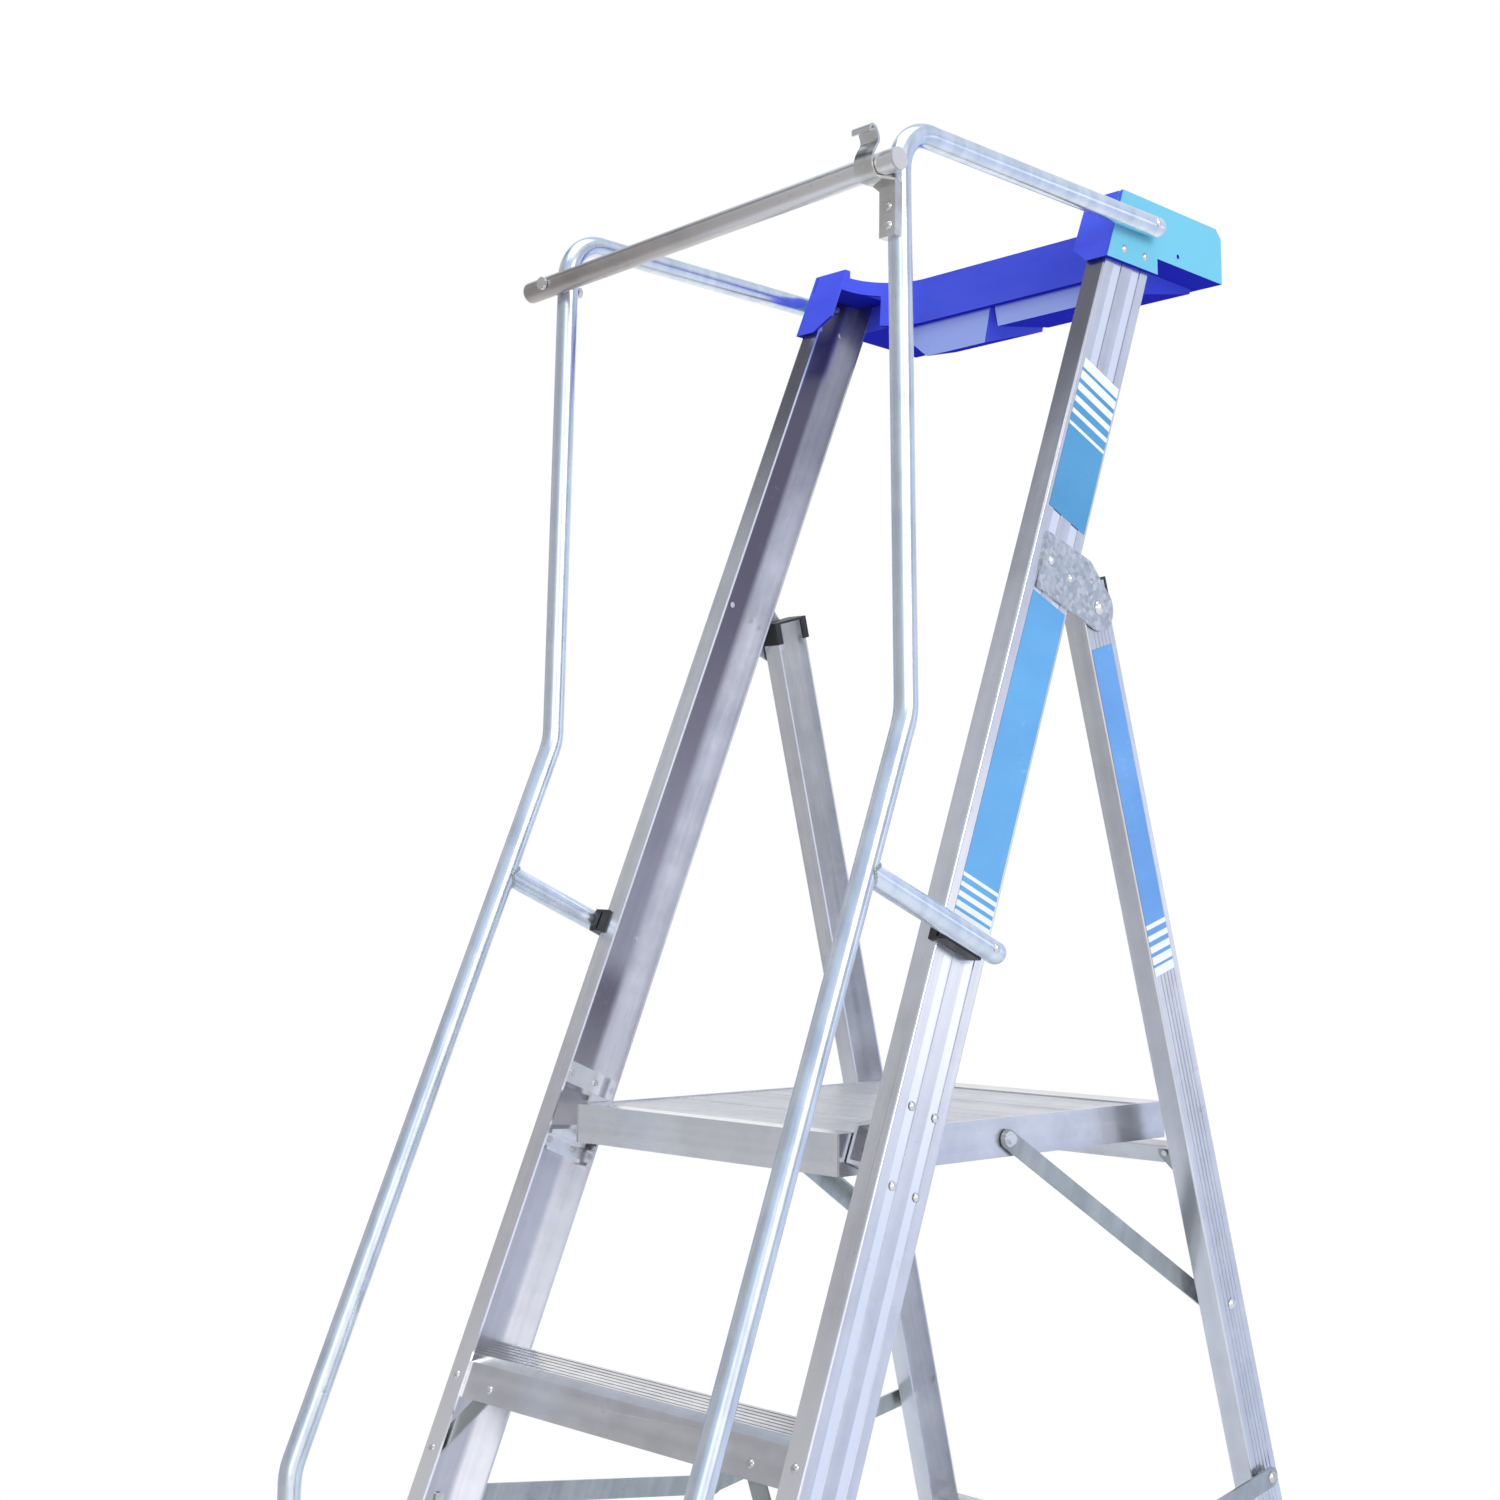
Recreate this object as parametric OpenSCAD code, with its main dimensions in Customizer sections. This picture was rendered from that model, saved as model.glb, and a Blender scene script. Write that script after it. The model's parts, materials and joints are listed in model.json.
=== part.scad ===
// Folding podium step: two channel stiles with four treads, a hinged rear frame, a standing
// platform that folds up between the stiles, handrails with a drop-in gate bar and a tool tray.
// Millimetres, +Z up. The origin is on the floor at the middle of the footprint.
// The user climbs facing +Y, and the right-hand side is +X.

/* [Frame] */
// Rise from one tread to the next; the platform is the fifth rise
step_rise = 280; // [250:5:300]
// Lean of the stiles back from upright, in degrees
stile_lean = 22.2; // [19:0.1:25]
// Lean of the rear legs forward from upright, in degrees
leg_lean = 16.7; // [13:0.1:20]
// Inward lean of each side, in degrees
side_taper = 1.35; // [1:0.01:2.2]
// Width across the two stiles at the floor
base_w = 615; // [600:5:700]
// Height of the top of the stiles above the platform
stile_rise = 1070; // [1000:5:1140]

/* [Stiles] */
// Depth of the stile channel, front to back
stile_depth = 83; // [75:1:95]
// Width of the stile flanges
stile_flange = 28; // [24:1:36]
// Wall of the stile channel
stile_wall = 3; // [2.5:0.1:4]
// Width of the two shallow flutes along the stile
flute_w = 15; // [8:1:18]
// Depth of the flutes
flute_depth = 0.8; // [0.4:0.1:1]

/* [Treads] */
// Depth of a tread from front to back
tread_depth = 66; // [55:1:68]
// Height of the front wall of a tread
tread_h = 44; // [42:1:60]
// Bevel along the front edge of a tread
tread_nose = 7; // [4:1:9]
// Wall of a tread
tread_wall = 2.5; // [2:0.1:3.5]
// Width of the knee strips
strip_w = 20; // [14:1:24]
// Thickness of the knee strips
strip_t = 2.5; // [2:0.1:4]

/* [Rear frame] */
// Depth of the leg channel, front to back
leg_depth = 54; // [46:1:60]
// Width of the leg flanges
leg_flange = 28; // [24:1:34]
// Wall of the leg channel
leg_wall = 2.5; // [2:0.1:3.5]
// Height of the hinge above the platform
hinge_rise = 583; // [540:1:620]
// Distance of the hinge behind the stiles
hinge_back = 48; // [44:1:60]
// Thickness of the hinge plates
hinge_plate_t = 3; // [2:0.5:5]
// Diameter of the hinge pins
hinge_pin_d = 10; // [8:0.5:12]
// Height of a rear rail
rear_rail_h = 28; // [24:1:36]
// Drop of the top rear rail's middle below the platform frame
rear_rail_drop = 18; // [18:1:60]
// Height of the lowest rear rail
rear_rail_low_h = 240; // [200:10:300]

/* [Platform] */
// Space between the platform's side and the stile's web
platform_side = 65; // [56:1:76]
// Depth of the platform
platform_d = 588; // [540:2:600]
// Thickness of the platform frame
platform_t = 44; // [40:1:50]
// Distance from the platform's front face back to its pivot
platform_nose = 40; // [34:1:46]
// Wall of the platform beams
beam_wall = 3; // [2.5:0.1:4]
// Thickness of the deck planks
plank_t = 12; // [10:0.5:13]
// Diameter of the platform's pivot pins
platform_pin_d = 10; // [8:0.5:10]
// Height of the strut pivots below the platform
strut_drop = 240; // [220:1:260]
// Width of the strut bars
strut_w = 22; // [20:1:28]
// Outward run of each strut from the platform to the leg
strut_splay = 28; // [0:1:30]

/* [Spreaders] */
// Height of the spreader pivots on the stiles
spreader_front_h = 960; // [930:1:970]
// Height of the spreader pivots on the legs
spreader_rear_h = 946; // [925:1:960]
// Slack of the two links past straight
spreader_slack = 9; // [3:0.1:10]
// Width of the spreader links
link_w = 24; // [16:1:26]
// Thickness of struts and links
link_t = 3; // [2:0.1:4]

/* [Handrails] */
// Diameter of the handrail tube
rail_d = 25.4; // [22:0.2:28]
// Wall of the handrail tube
rail_wall = 2; // [1.5:0.1:3]
// Height of the top rail above the platform
rail_rise = 1060; // [1000:1:1067]
// Drop of the top rail toward the front
rail_dip = 6; // [0:1:7]
// Distance of the tube's axis outside the stile
rail_out = 20; // [18.5:0.1:26]
// Horizontal lead of the sloping rail ahead of the stiles
rail_lead = 161; // [120:1:180]
// Setback of the upright rail from the stile's front at the platform
rail_setback = 15; // [0:1:30]
// Height of the rail's lower fixing
rail_foot_h = 513; // [480:1:540]
// Height of the standoff arms above the platform
arm_rise = 213; // [180:1:240]

/* [Gate] */
// Diameter of the gate bar
gate_d = 25.4; // [22:0.2:28]
// Height of the gate bar's pivot below the top rail
gate_drop = 70; // [66:1:110]
// Rise of the gate bar toward its hook, in degrees
gate_tilt = 1.6; // [0:0.1:1.6]
// Overhang of the gate bar past the pivot rail
gate_over_left = 38; // [20:1:50]
// Overhang of the gate bar past the latch rail
gate_over_right = 22; // [14:1:30]
// Thickness of the hook
hook_t = 3; // [2.5:0.1:4]
// Length of the hook along the bar
hook_len = 37; // [26:1:40]

/* [Tray] */
// Height of the tray wall
tray_h = 70; // [60:1:80]
// Wall of the tray
tray_wall = 4; // [3:0.1:5]
// Depth of the tray from its front lobes to its back
tray_depth = 250; // [240:1:290]
// Depth of the rounded recess in the tray's front
tray_recess = 118; // [90:1:130]
// Corner radius of the recess
tray_recess_r = 75; // [50:1:85]
// Dip of the recess wall below the tray's rim
rim_dip = 10; // [4:1:24]
// Depth of the deep well below the tray floor
well_depth = 47; // [30:1:60]

/* [Feet] */
// Rubber wall of the feet
boot_wall = 4; // [3:0.5:6]
// Height of the rubber feet
boot_h = 70; // [50:1:90]
// Sole below the channel
sole_t = 8; // [5:0.5:12]

/* [Fasteners] */
// Rivet shank diameter
rivet_d = 5; // [4:0.1:6]
// Rivet head diameter
rivet_head_d = 10; // [8:0.2:12]

/* [Fits] */
// Radial clearance of a pin that turns in a hole
run_gap = 0.06; // [0.02:0.01:0.1]
// Radial clearance of a rivet in its hole
rivet_gap = 0.1; // [0.05:0.01:0.2]
// Gap between plates that turn past each other
turn_gap = 1.5; // [1.2:0.1:2.5]
// Gap between seated pieces
seat_gap = 0.1; // [0.05:0.01:0.2]

/* [Hidden] */
$fn = 64;
far = 3000;
silver = [0.78, 0.79, 0.82];
bright = [0.86, 0.87, 0.89];
steel = [0.70, 0.72, 0.74];
grey = [0.60, 0.64, 0.64];
blue = [0.29, 0.33, 0.84];
black = [0.08, 0.08, 0.09];

step_count = 4;
platform_h = (step_count + 1) * step_rise;
stile_top = platform_h + stile_rise;
hinge_z = platform_h + hinge_rise;
hinge_n = stile_depth + hinge_back;
fold_angle = stile_lean + leg_lean;

// Footprint, centred on the origin along Y
stile_run = tan(stile_lean);
leg_run = tan(leg_lean);
hinge_from_toe = hinge_z * stile_run + hinge_n / cos(stile_lean);
footprint = hinge_from_toe + hinge_z * leg_run + leg_depth / 2 / cos(leg_lean);
stile_foot_y = -footprint / 2;
hinge_y = stile_foot_y + hinge_from_toe;

function stile_y(z) = stile_foot_y + z * stile_run;
function stile_mid_y(z) = stile_y(z) + stile_depth / 2 / cos(stile_lean);
function leg_y(z) = hinge_y + (hinge_z - z) * leg_run;
function web_x(z) = base_w / 2 - z * tan(side_taper);
// Height measured in the leaning side plane
function up_side(z) = z / cos(side_taper);
// Distance along the stile for a height and a depth behind its front face
function stile_s(z, n) = (up_side(z) + n * sin(stile_lean)) / cos(stile_lean);
// Distance down the leg from the hinge for a height
function leg_t(z) = (hinge_z - z) / cos(leg_lean);
// Front of a tread, just behind the stile's front flange, and rear of a rail between the legs
function tread_y(z) = stile_foot_y + (z + stile_flange * sin(side_taper)) / cos(side_taper) * stile_run
    + stile_wall / cos(stile_lean) + seat_gap;
function rail_y(z) = hinge_y - seat_gap + (leg_depth / 2 - leg_wall) / cos(leg_lean)
    + (hinge_z - z - (turn_gap + leg_flange) * sin(side_taper)) / cos(side_taper) * leg_run;
// Axis of the upright rail
function rail_x_at(z) = web_x(z) + rail_out / cos(side_taper);
function unit(v) = v / norm(v);
function turned(v, a) = [v.x * cos(a) - v.y * sin(a), v.x * sin(a) + v.y * cos(a)];
function angle_of(v) = atan2(v.y, v.x);

// Platform linkage, as points in the Y-Z plane: it closes both open and folded
platform_w = 2 * (web_x(platform_h) - platform_side);
pivot_n = 46;
pivot_drop = 24;
pivot_z = platform_h - pivot_drop;
pivot = [stile_y(pivot_z) + pivot_n / cos(stile_lean), pivot_z];
pivot_s = stile_s(pivot_z, pivot_n);
hinge = [hinge_y, hinge_z];
strut_foot_z = platform_h - strut_drop;
strut_foot = [leg_y(strut_foot_z), strut_foot_z];
strut_foot_folded = hinge + turned(strut_foot - hinge, -fold_angle);
flat_dir = [1, 0];
stile_dir = [sin(stile_lean), cos(stile_lean)];
to_open = strut_foot - pivot;
to_folded = strut_foot_folded - pivot;
strut_reach = (to_open * to_open - to_folded * to_folded)
    / (2 * (to_open * flat_dir - to_folded * stile_dir));
strut_head = pivot + strut_reach * flat_dir;
strut_len = norm(strut_foot - strut_head);
strut_skew = atan(strut_splay / strut_len);
strut_bar = strut_len / cos(strut_skew);
strut_x = platform_w / 2 + turn_gap + strut_w / 2 * sin(strut_skew);
strut_out_x = strut_x + strut_splay;
strut_pin_d = 8;
strut_clear = 80;
strut_flange = 20;

// Platform bracket
web_in = -stile_wall;
bracket_flange_t = 5;
bracket_foot_t = 12;
bracket_floor_t = 4;
bracket_wall = 4;
bracket_len = 56;
bracket_end_x = platform_w / 2 + turn_gap;
bracket_reach = bracket_end_x - web_x(pivot_z) - 10;

// Platform frame
platform_front = pivot.x - platform_nose;
front_beam_d = 25;
rear_beam_d = 49;
beam_in = 25;
beam_len = platform_d - front_beam_d - rear_beam_d;
cross_beam_half = platform_w / 2 - beam_wall - seat_gap;
ledge_in = 16;
ledge_t = 2.5;
deck_drop = 1.5;
plank_count = 4;
plank_gap = 1;
plank_d = (beam_len - (plank_count + 1) * plank_gap) / plank_count;
plank_half = platform_w / 2 - beam_wall - 0.3;
rib_pitch = 8;
rib_w = 3;
rib_h = 1.2;

// Spreader linkage: the split of the two links lets them fold along the stile
link_a = [stile_mid_y(spreader_front_h), spreader_front_h];
link_b = [leg_y(spreader_rear_h), spreader_rear_h];
link_b_folded = hinge + turned(link_b - hinge, -fold_angle);
link_split = (link_b_folded - link_a) * stile_dir;
link_span = norm(link_b - link_a);
link_front = (link_span + spreader_slack + link_split) / 2;
link_rear = (link_span + spreader_slack - link_split) / 2;
link_dip = acos((link_front * link_front + link_span * link_span - link_rear * link_rear)
    / (2 * link_front * link_span));
link_dir = angle_of(link_b - link_a) - link_dip;
link_mid = link_a + link_front * [cos(link_dir), sin(link_dir)];
link_front_x = web_x(min(spreader_front_h, spreader_rear_h)) + turn_gap;
link_rear_x = link_front_x + link_t + turn_gap / 2;
link_pin_d = 8;

// Handrail route in the side plane
rail_top = platform_h + rail_rise;
rail_up_y = stile_y(platform_h) + rail_setback;
rail_low_y = stile_mid_y(rail_foot_h);
rail_knee_z = platform_h + (rail_setback + rail_lead) / stile_run;
rail_hip_z = rail_knee_z + (rail_low_y - rail_up_y) / stile_run;
rail_end_over = 12;
rail_points = [
    [stile_mid_y(rail_top) + rail_end_over, up_side(rail_top)],
    [rail_up_y, up_side(rail_top - rail_dip)],
    [rail_up_y, up_side(rail_knee_z)],
    [rail_low_y, up_side(rail_hip_z)],
    [rail_low_y, up_side(rail_foot_h) - rail_end_over],
];
rail_bends = [50, 70, 70];
bend_lap = 1;
bend_swell = 0.15;
end_step = 0.2;
arm_z = platform_h + arm_rise;
arm_s = stile_s(arm_z, 0);
arm_end_n = stile_depth - 12;
arm_hole_n = arm_end_n - rail_d / 2;
rail_n = -rail_lead * cos(stile_lean);
saddle_lip = 4;

// Gate
gate_z = rail_top - gate_drop;
gate_y = rail_up_y - (rail_d + gate_d) / 2 - turn_gap / 2;
rail_x = rail_x_at(gate_z);
gate_bolt_d = 8;
gate_len = 2 * rail_x + gate_over_left + gate_over_right;
hook_z = gate_z + 2 * rail_x * tan(gate_tilt);
hook_x = rail_x_at(hook_z);
hook_play = 0.8;
hook_plate_y = 7.5;
hook_plate_t = 12;
hook_plate_h = 75;
hook_half = 11;
hook_lip_h = 31;
hook_curl_r = 5;
hook_rivet_z = [hook_z - 43, hook_z - 63];

// Tray
tray_floor_z = stile_top - 40;
tray_top_z = tray_floor_z + tray_h;
tray_side = 6;
tray_half = web_x(tray_floor_z - 20) + tray_side;
tray_front_y = stile_y(tray_floor_z - 20) - 6;
lobe_w = 56;
lug_drop = 20;
lobe_face = 5.5;
pocket_top_z = stile_top + 1;
lobe_floor_z = pocket_top_z + tray_wall;
lobe_back_y = stile_y(stile_top) + stile_depth / cos(stile_lean) + 10;
tray_rivet_z = tray_floor_z - 4;
rim_dip_y = tray_front_y + tray_recess * 0.4;
cheek_hole = [tray_front_y + 151, tray_floor_z + 13];
cheek_hole_d = 6;
rear_bevel = 11;
well_front_y = tray_front_y + tray_recess + 2 * tray_wall;
well_back_y = tray_front_y + tray_depth - 2 * tray_wall;
// Each well as its span in X, its depth and the run of its two ends for each unit of depth
deep_well = [[-0.72, -0.08] * tray_half, well_depth, [1.2, 0.2]];
side_well = [[-0.05, 0.84] * tray_half, well_depth * 0.62, [0.2, 0.6]];
well_rear = 0.2;

// Rivet rows on the outer face of a stile, as [distance along, depth]
bracket_rivets = [for (ds = [51, -33], dn = [-21, 18]) [pivot_s + ds, pivot_n + dn]];
hinge_s = stile_s(hinge_z, hinge_n);
hinge_rivets = [[hinge_s + 7, stile_depth * 0.37], [hinge_s + 5, stile_depth * 0.84]];
hinge_plate_r = 27;
hinge_plate_h = 76;
hinge_plate_reach = hinge_n - 14;
tray_rivets = [for (n = [22, 62]) [stile_s(tray_rivet_z, n), n]];

// Rivets of the treads on the front flange, and of the rear rails on the rear flange
flange_rivet_in = 14;
tread_rivet_drop = 22;
knee_in = 74;
knee_drop = 99;
knee_top_drop = 30;
rear_rail_top_z = platform_h - platform_t - rear_rail_drop;
rear_rail_z = [rear_rail_top_z, (rear_rail_top_z + rear_rail_low_h) / 2, rear_rail_low_h];
rear_knee_in = 68;
leg_over = 30;
rear_knee_drop = 62;
rivet_slack = 0.8;

// Frames of reference

module on_side(side) mirror([side < 0 ? 1 : 0, 0, 0]) children();
module both_sides() for (side = [-1, 1]) on_side(side) children();

// The leaning side plane: X outward from the web's outer face, Y to the rear, Z up the plane
module side_plane() translate([base_w / 2, 0, 0]) rotate([0, -side_taper, 0]) children();

// A place on the stile: X outward, Y into its depth, Z up along it
module at_stile(s, n)
    side_plane() translate([0, stile_foot_y, 0]) rotate([-stile_lean, 0, 0])
        translate([0, n, s]) children();

// A place on the rear leg, t below the hinge: X outward, Y to the rear, Z up along it
module at_leg(t, n)
    side_plane() translate([-turn_gap, hinge_y, up_side(hinge_z)]) rotate([leg_lean, 0, 0])
        translate([0, n, -t]) children();

// An outline drawn in Y and Z, made t thick along +X from x
module plate_x(x, t) translate([x, 0, 0]) rotate([90, 0, 90]) linear_extrude(t) children();

// An outline drawn in X and Z, made t thick along +Y
module plate_y(t) translate([0, t, 0]) rotate([90, 0, 0]) linear_extrude(t) children();

// Basic shapes

module rod_x(d, x0, x1, p) translate([x0, p.x, p.y]) rotate([0, 90, 0]) cylinder(d = d, h = x1 - x0);

// Bar with round ends, a hair wider than its shank
module bar_2d(p, q, w) {
    shank = w - 2 * end_step;
    translate(p) circle(d = w);
    translate(q) circle(d = w);
    translate(p) rotate(angle_of(q - p)) translate([0, -shank / 2]) square([norm(q - p), shank]);
}

// Domed end of a tube, a hair inside its edge
module dome(d) sphere(d = d - 2 * end_step);

// Domed rivet along Z: head above zero, shank down through the grip, tail below
module rivet(grip, d = rivet_d, head = rivet_head_d) {
    dome_h = head * 0.3;
    tail = d * 1.5;
    rotate_extrude() intersection() {
        translate([0, dome_h - (head * head / 4 + dome_h * dome_h) / (2 * dome_h)])
            circle(r = (head * head / 4 + dome_h * dome_h) / (2 * dome_h));
        square([head, dome_h]);
    }
    translate([0, 0, -grip - d / 6]) cylinder(d = d, h = grip + d / 6 + dome_h / 2);
    translate([0, 0, -grip - d / 3]) cylinder(d = tail, h = d / 3);
}

module rivet_hole(reach) translate([0, 0, -reach]) cylinder(d = rivet_d + 2 * rivet_gap, h = 2 * reach);

// Channel with its web at X = 0, open toward -X, and rounded outer corners
module channel_2d(depth, flange, wall) {
    r = wall;
    difference() {
        union() {
            translate([-flange, 0]) square([flange - r, depth]);
            translate([-r, r]) square([r, depth - 2 * r]);
            for (y = [r, depth - r]) translate([-r, y]) circle(r = r);
        }
        translate([-flange - 1, wall]) square([flange - wall + 1, depth - 2 * wall]);
    }
}

// Round rod along a route in a plane, with a radius at each inner point. The bends are a hair
// fuller than the straight lengths, which reach a little way into them
module rod_path(p, bends, d) {
    last = len(p) - 1;
    turn = [for (i = [1 : last - 1])
        let (u = unit(p[i] - p[i - 1]), v = unit(p[i + 1] - p[i]))
        atan2(u.x * v.y - u.y * v.x, u * v)];
    cut = [for (i = [0 : last])
        i == 0 || i == last ? 0 : bends[i - 1] * tan(abs(turn[i - 1]) / 2) - bend_lap];
    for (i = [0 : last - 1]) {
        u = unit(p[i + 1] - p[i]);
        start = p[i] + cut[i] * u;
        translate([start.x, start.y, 0]) rotate([0, 0, angle_of(u)]) rotate([0, 90, 0])
            cylinder(d = d, h = norm(p[i + 1] - p[i]) - cut[i] - cut[i + 1]);
    }
    for (i = [1 : last - 1]) {
        u = unit(p[i] - p[i - 1]);
        bend_side = sign(turn[i - 1]);
        centre = p[i] - (cut[i] + bend_lap) * u + bends[i - 1] * bend_side * [-u.y, u.x];
        from = angle_of(bend_side * [u.y, -u.x]);
        translate([centre.x, centre.y, 0]) rotate([0, 0, bend_side > 0 ? from : from + turn[i - 1]])
            rotate_extrude(angle = abs(turn[i - 1])) translate([bends[i - 1], 0])
                circle(d = d + 2 * bend_swell);
    }
}

// Cuts off everything outside the inner face of the webs on both sides
module trim_to_webs(inset)
    both_sides() side_plane() translate([-inset, -far / 2, -far / 4]) cube([far / 4, far, far * 1.5]);

module floor_cut(z) translate([-far / 2, -far / 2, z - far]) cube(far);

// Front frame

module stile_profile() difference() {
    channel_2d(stile_depth, stile_flange, stile_wall);
    for (y = [stile_depth * 0.29, stile_depth * 0.71])
        translate([-flute_depth, y - flute_w / 2]) square([flute_depth + 1, flute_w]);
}

module web_rivet_places() {
    for (p = concat(bracket_rivets, hinge_rivets, tray_rivets)) at_stile(p[0], p[1]) children();
}

// Where the handrail is bolted through to the web: at the top, on the arm and at the foot
module rail_bolt_places() {
    side_plane() for (z = [rail_top, rail_foot_h])
        translate([0, stile_mid_y(z), up_side(z)]) children();
    at_stile(arm_s, arm_hole_n) children();
}

module tread_rivet_places(i) {
    z = i * step_rise;
    at_stile(stile_s(z - tread_rivet_drop, 0), 0) translate([-flange_rivet_in, 0, 0])
        rotate([90, 0, 0]) children();
}

module knee_rivet_places(i) {
    z = i * step_rise;
    at_stile(stile_s(z - knee_drop, 0), 0) translate([-flange_rivet_in, 0, 0])
        rotate([90, 0, 0]) children();
}

module stile(side) color(silver) on_side(side) difference() {
    at_stile(-stile_depth, 0) linear_extrude(stile_s(stile_top, 0) + 2 * stile_depth) stile_profile();
    floor_cut(sole_t);
    translate([-far / 2, -far / 2, stile_top]) cube(far);
    web_rivet_places() rotate([0, 90, 0]) rivet_hole(stile_wall * 2);
    rail_bolt_places() rotate([0, 90, 0]) rivet_hole(stile_wall * 2);
    for (i = [1 : step_count]) {
        tread_rivet_places(i) rivet_hole(stile_wall * 2);
        knee_rivet_places(i) rivet_hole(stile_wall * 2);
    }
    rod_x(link_pin_d + 2 * rivet_gap, 0, base_w, link_a);
}

// Tread: grooved top, tall sloping front wall, short rear wall
module tread_profile() {
    rear_h = tread_h * 0.5;
    wall = tread_wall / cos(stile_lean);
    grooves = 5;
    groove_start = tread_nose + 3;
    pitch = (tread_depth - groove_start - 8) / grooves;
    difference() {
        polygon([
            [-tread_nose * stile_run, -tread_nose], [tread_nose, 0], [tread_depth, 0],
            [tread_depth - rear_h * stile_run, -rear_h],
            [tread_depth - rear_h * stile_run - wall, -rear_h],
            [tread_depth - tread_wall * stile_run - wall, -tread_wall],
            [tread_nose + 1, -tread_wall],
            [wall - (tread_nose + 1) * stile_run, -tread_nose - 1],
            [wall - tread_h * stile_run, -tread_h],
            [-tread_h * stile_run, -tread_h],
        ]);
        for (i = [0 : grooves]) translate([groove_start + i * pitch, -1]) square([3, 2]);
    }
}

// The front wall of a tread: X across, Y into the wall, Z up along it from the tread's top
module at_tread(i) translate([0, tread_y(i * step_rise), i * step_rise])
    rotate([-stile_lean, 0, 0]) children();

module step(i) color(silver) {
    z = i * step_rise;
    difference() {
        translate([0, tread_y(z), z]) plate_x(-base_w / 2, base_w) tread_profile();
        trim_to_webs(stile_wall + seat_gap);
        both_sides() {
            tread_rivet_places(i) rivet_hole(stile_wall + tread_wall + 1);
            face_rivet_place(i) rivet_hole(tread_wall + 1);
        }
    }
}

// Rivet of the knee strip on the tread's front wall
module face_rivet_place(i) at_tread(i)
    translate([web_x(i * step_rise) - knee_in, 0, -knee_top_drop / cos(stile_lean)])
        rotate([90, 0, 0]) children();

// Knee strips that tie each tread's front wall to the stile's front flange, with a packing disc
module step_braces() color(grey) both_sides() for (i = [1 : step_count]) {
    z = i * step_rise;
    low = [web_x(z - knee_drop) - flange_rivet_in, -knee_drop / cos(stile_lean)];
    top = [web_x(z) - knee_in, -knee_top_drop / cos(stile_lean)];
    difference() {
        union() {
            at_tread(i) translate([0, tread_wall + seat_gap, 0]) plate_y(strip_t) bar_2d(low, top, strip_w);
            at_stile(stile_s(z - knee_drop, 0), stile_wall + seat_gap) plate_y(tread_wall + strip_t / 2)
                translate([-flange_rivet_in, 0]) circle(d = strip_w * 0.7);
        }
        knee_rivet_places(i) rivet_hole(stile_wall + tread_wall + 2 * strip_t);
        face_rivet_place(i) rivet_hole(tread_wall + 2 * strip_t);
    }
}

module step_rivets() color(steel) both_sides() for (i = [1 : step_count]) {
    tread_rivet_places(i) rivet(stile_wall + tread_wall + rivet_slack);
    knee_rivet_places(i) rivet(stile_wall + tread_wall + strip_t + rivet_slack);
    face_rivet_place(i) rivet(tread_wall + strip_t + rivet_slack);
}

// Domed rivets on the stile webs: hinge plates, platform brackets and tray lugs
module frame_rivets() color(steel) both_sides() {
    for (i = [0 : len(bracket_rivets) - 1]) at_stile(bracket_rivets[i][0], bracket_rivets[i][1])
        rotate([0, 90, 0]) rivet(stile_wall + (i < 2 ? bracket_flange_t : bracket_floor_t));
    for (p = hinge_rivets) at_stile(p[0], p[1]) translate([hinge_plate_t, 0, 0]) rotate([0, 90, 0])
        rivet(stile_wall + hinge_plate_t);
    for (p = tray_rivets) at_stile(p[0], p[1]) translate([tray_side, 0, 0]) rotate([0, 90, 0])
        rivet(stile_wall + tray_side);
}

// Hinge plate: riveted to the stile and reaching back to the leg's pivot
module hinge_plate(side) color(steel) on_side(side) difference() {
    at_stile(hinge_s, hinge_n) rotate([90, 0, 90]) linear_extrude(hinge_plate_t) {
        circle(r = hinge_plate_r);
        polygon([[0, -hinge_plate_r], [hinge_plate_r * 0.6, hinge_plate_r * 0.8],
            [-hinge_back * 0.7, hinge_plate_h * 0.57], [-hinge_plate_reach, hinge_plate_h * 0.48],
            [4 - hinge_plate_reach, -hinge_plate_h * 0.43], [-hinge_back * 1.25, -hinge_plate_h * 0.4]]);
    }
    for (p = hinge_rivets) at_stile(p[0], p[1]) rotate([0, 90, 0]) rivet_hole(hinge_plate_t * 2);
    rod_x(hinge_pin_d + 2 * rivet_gap, 0, base_w, hinge);
}

// Pivot rivets, fixed in the plates; the legs turn on them
module hinge_pins() color(steel) both_sides() {
    outer = web_x(hinge_z) + hinge_plate_t + 0.4;
    inner = web_x(hinge_z) - turn_gap - leg_wall - 1;
    translate([outer, hinge_y, hinge_z]) rotate([0, 90, 0]) rivet(outer - inner, hinge_pin_d, 18);
}

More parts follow.
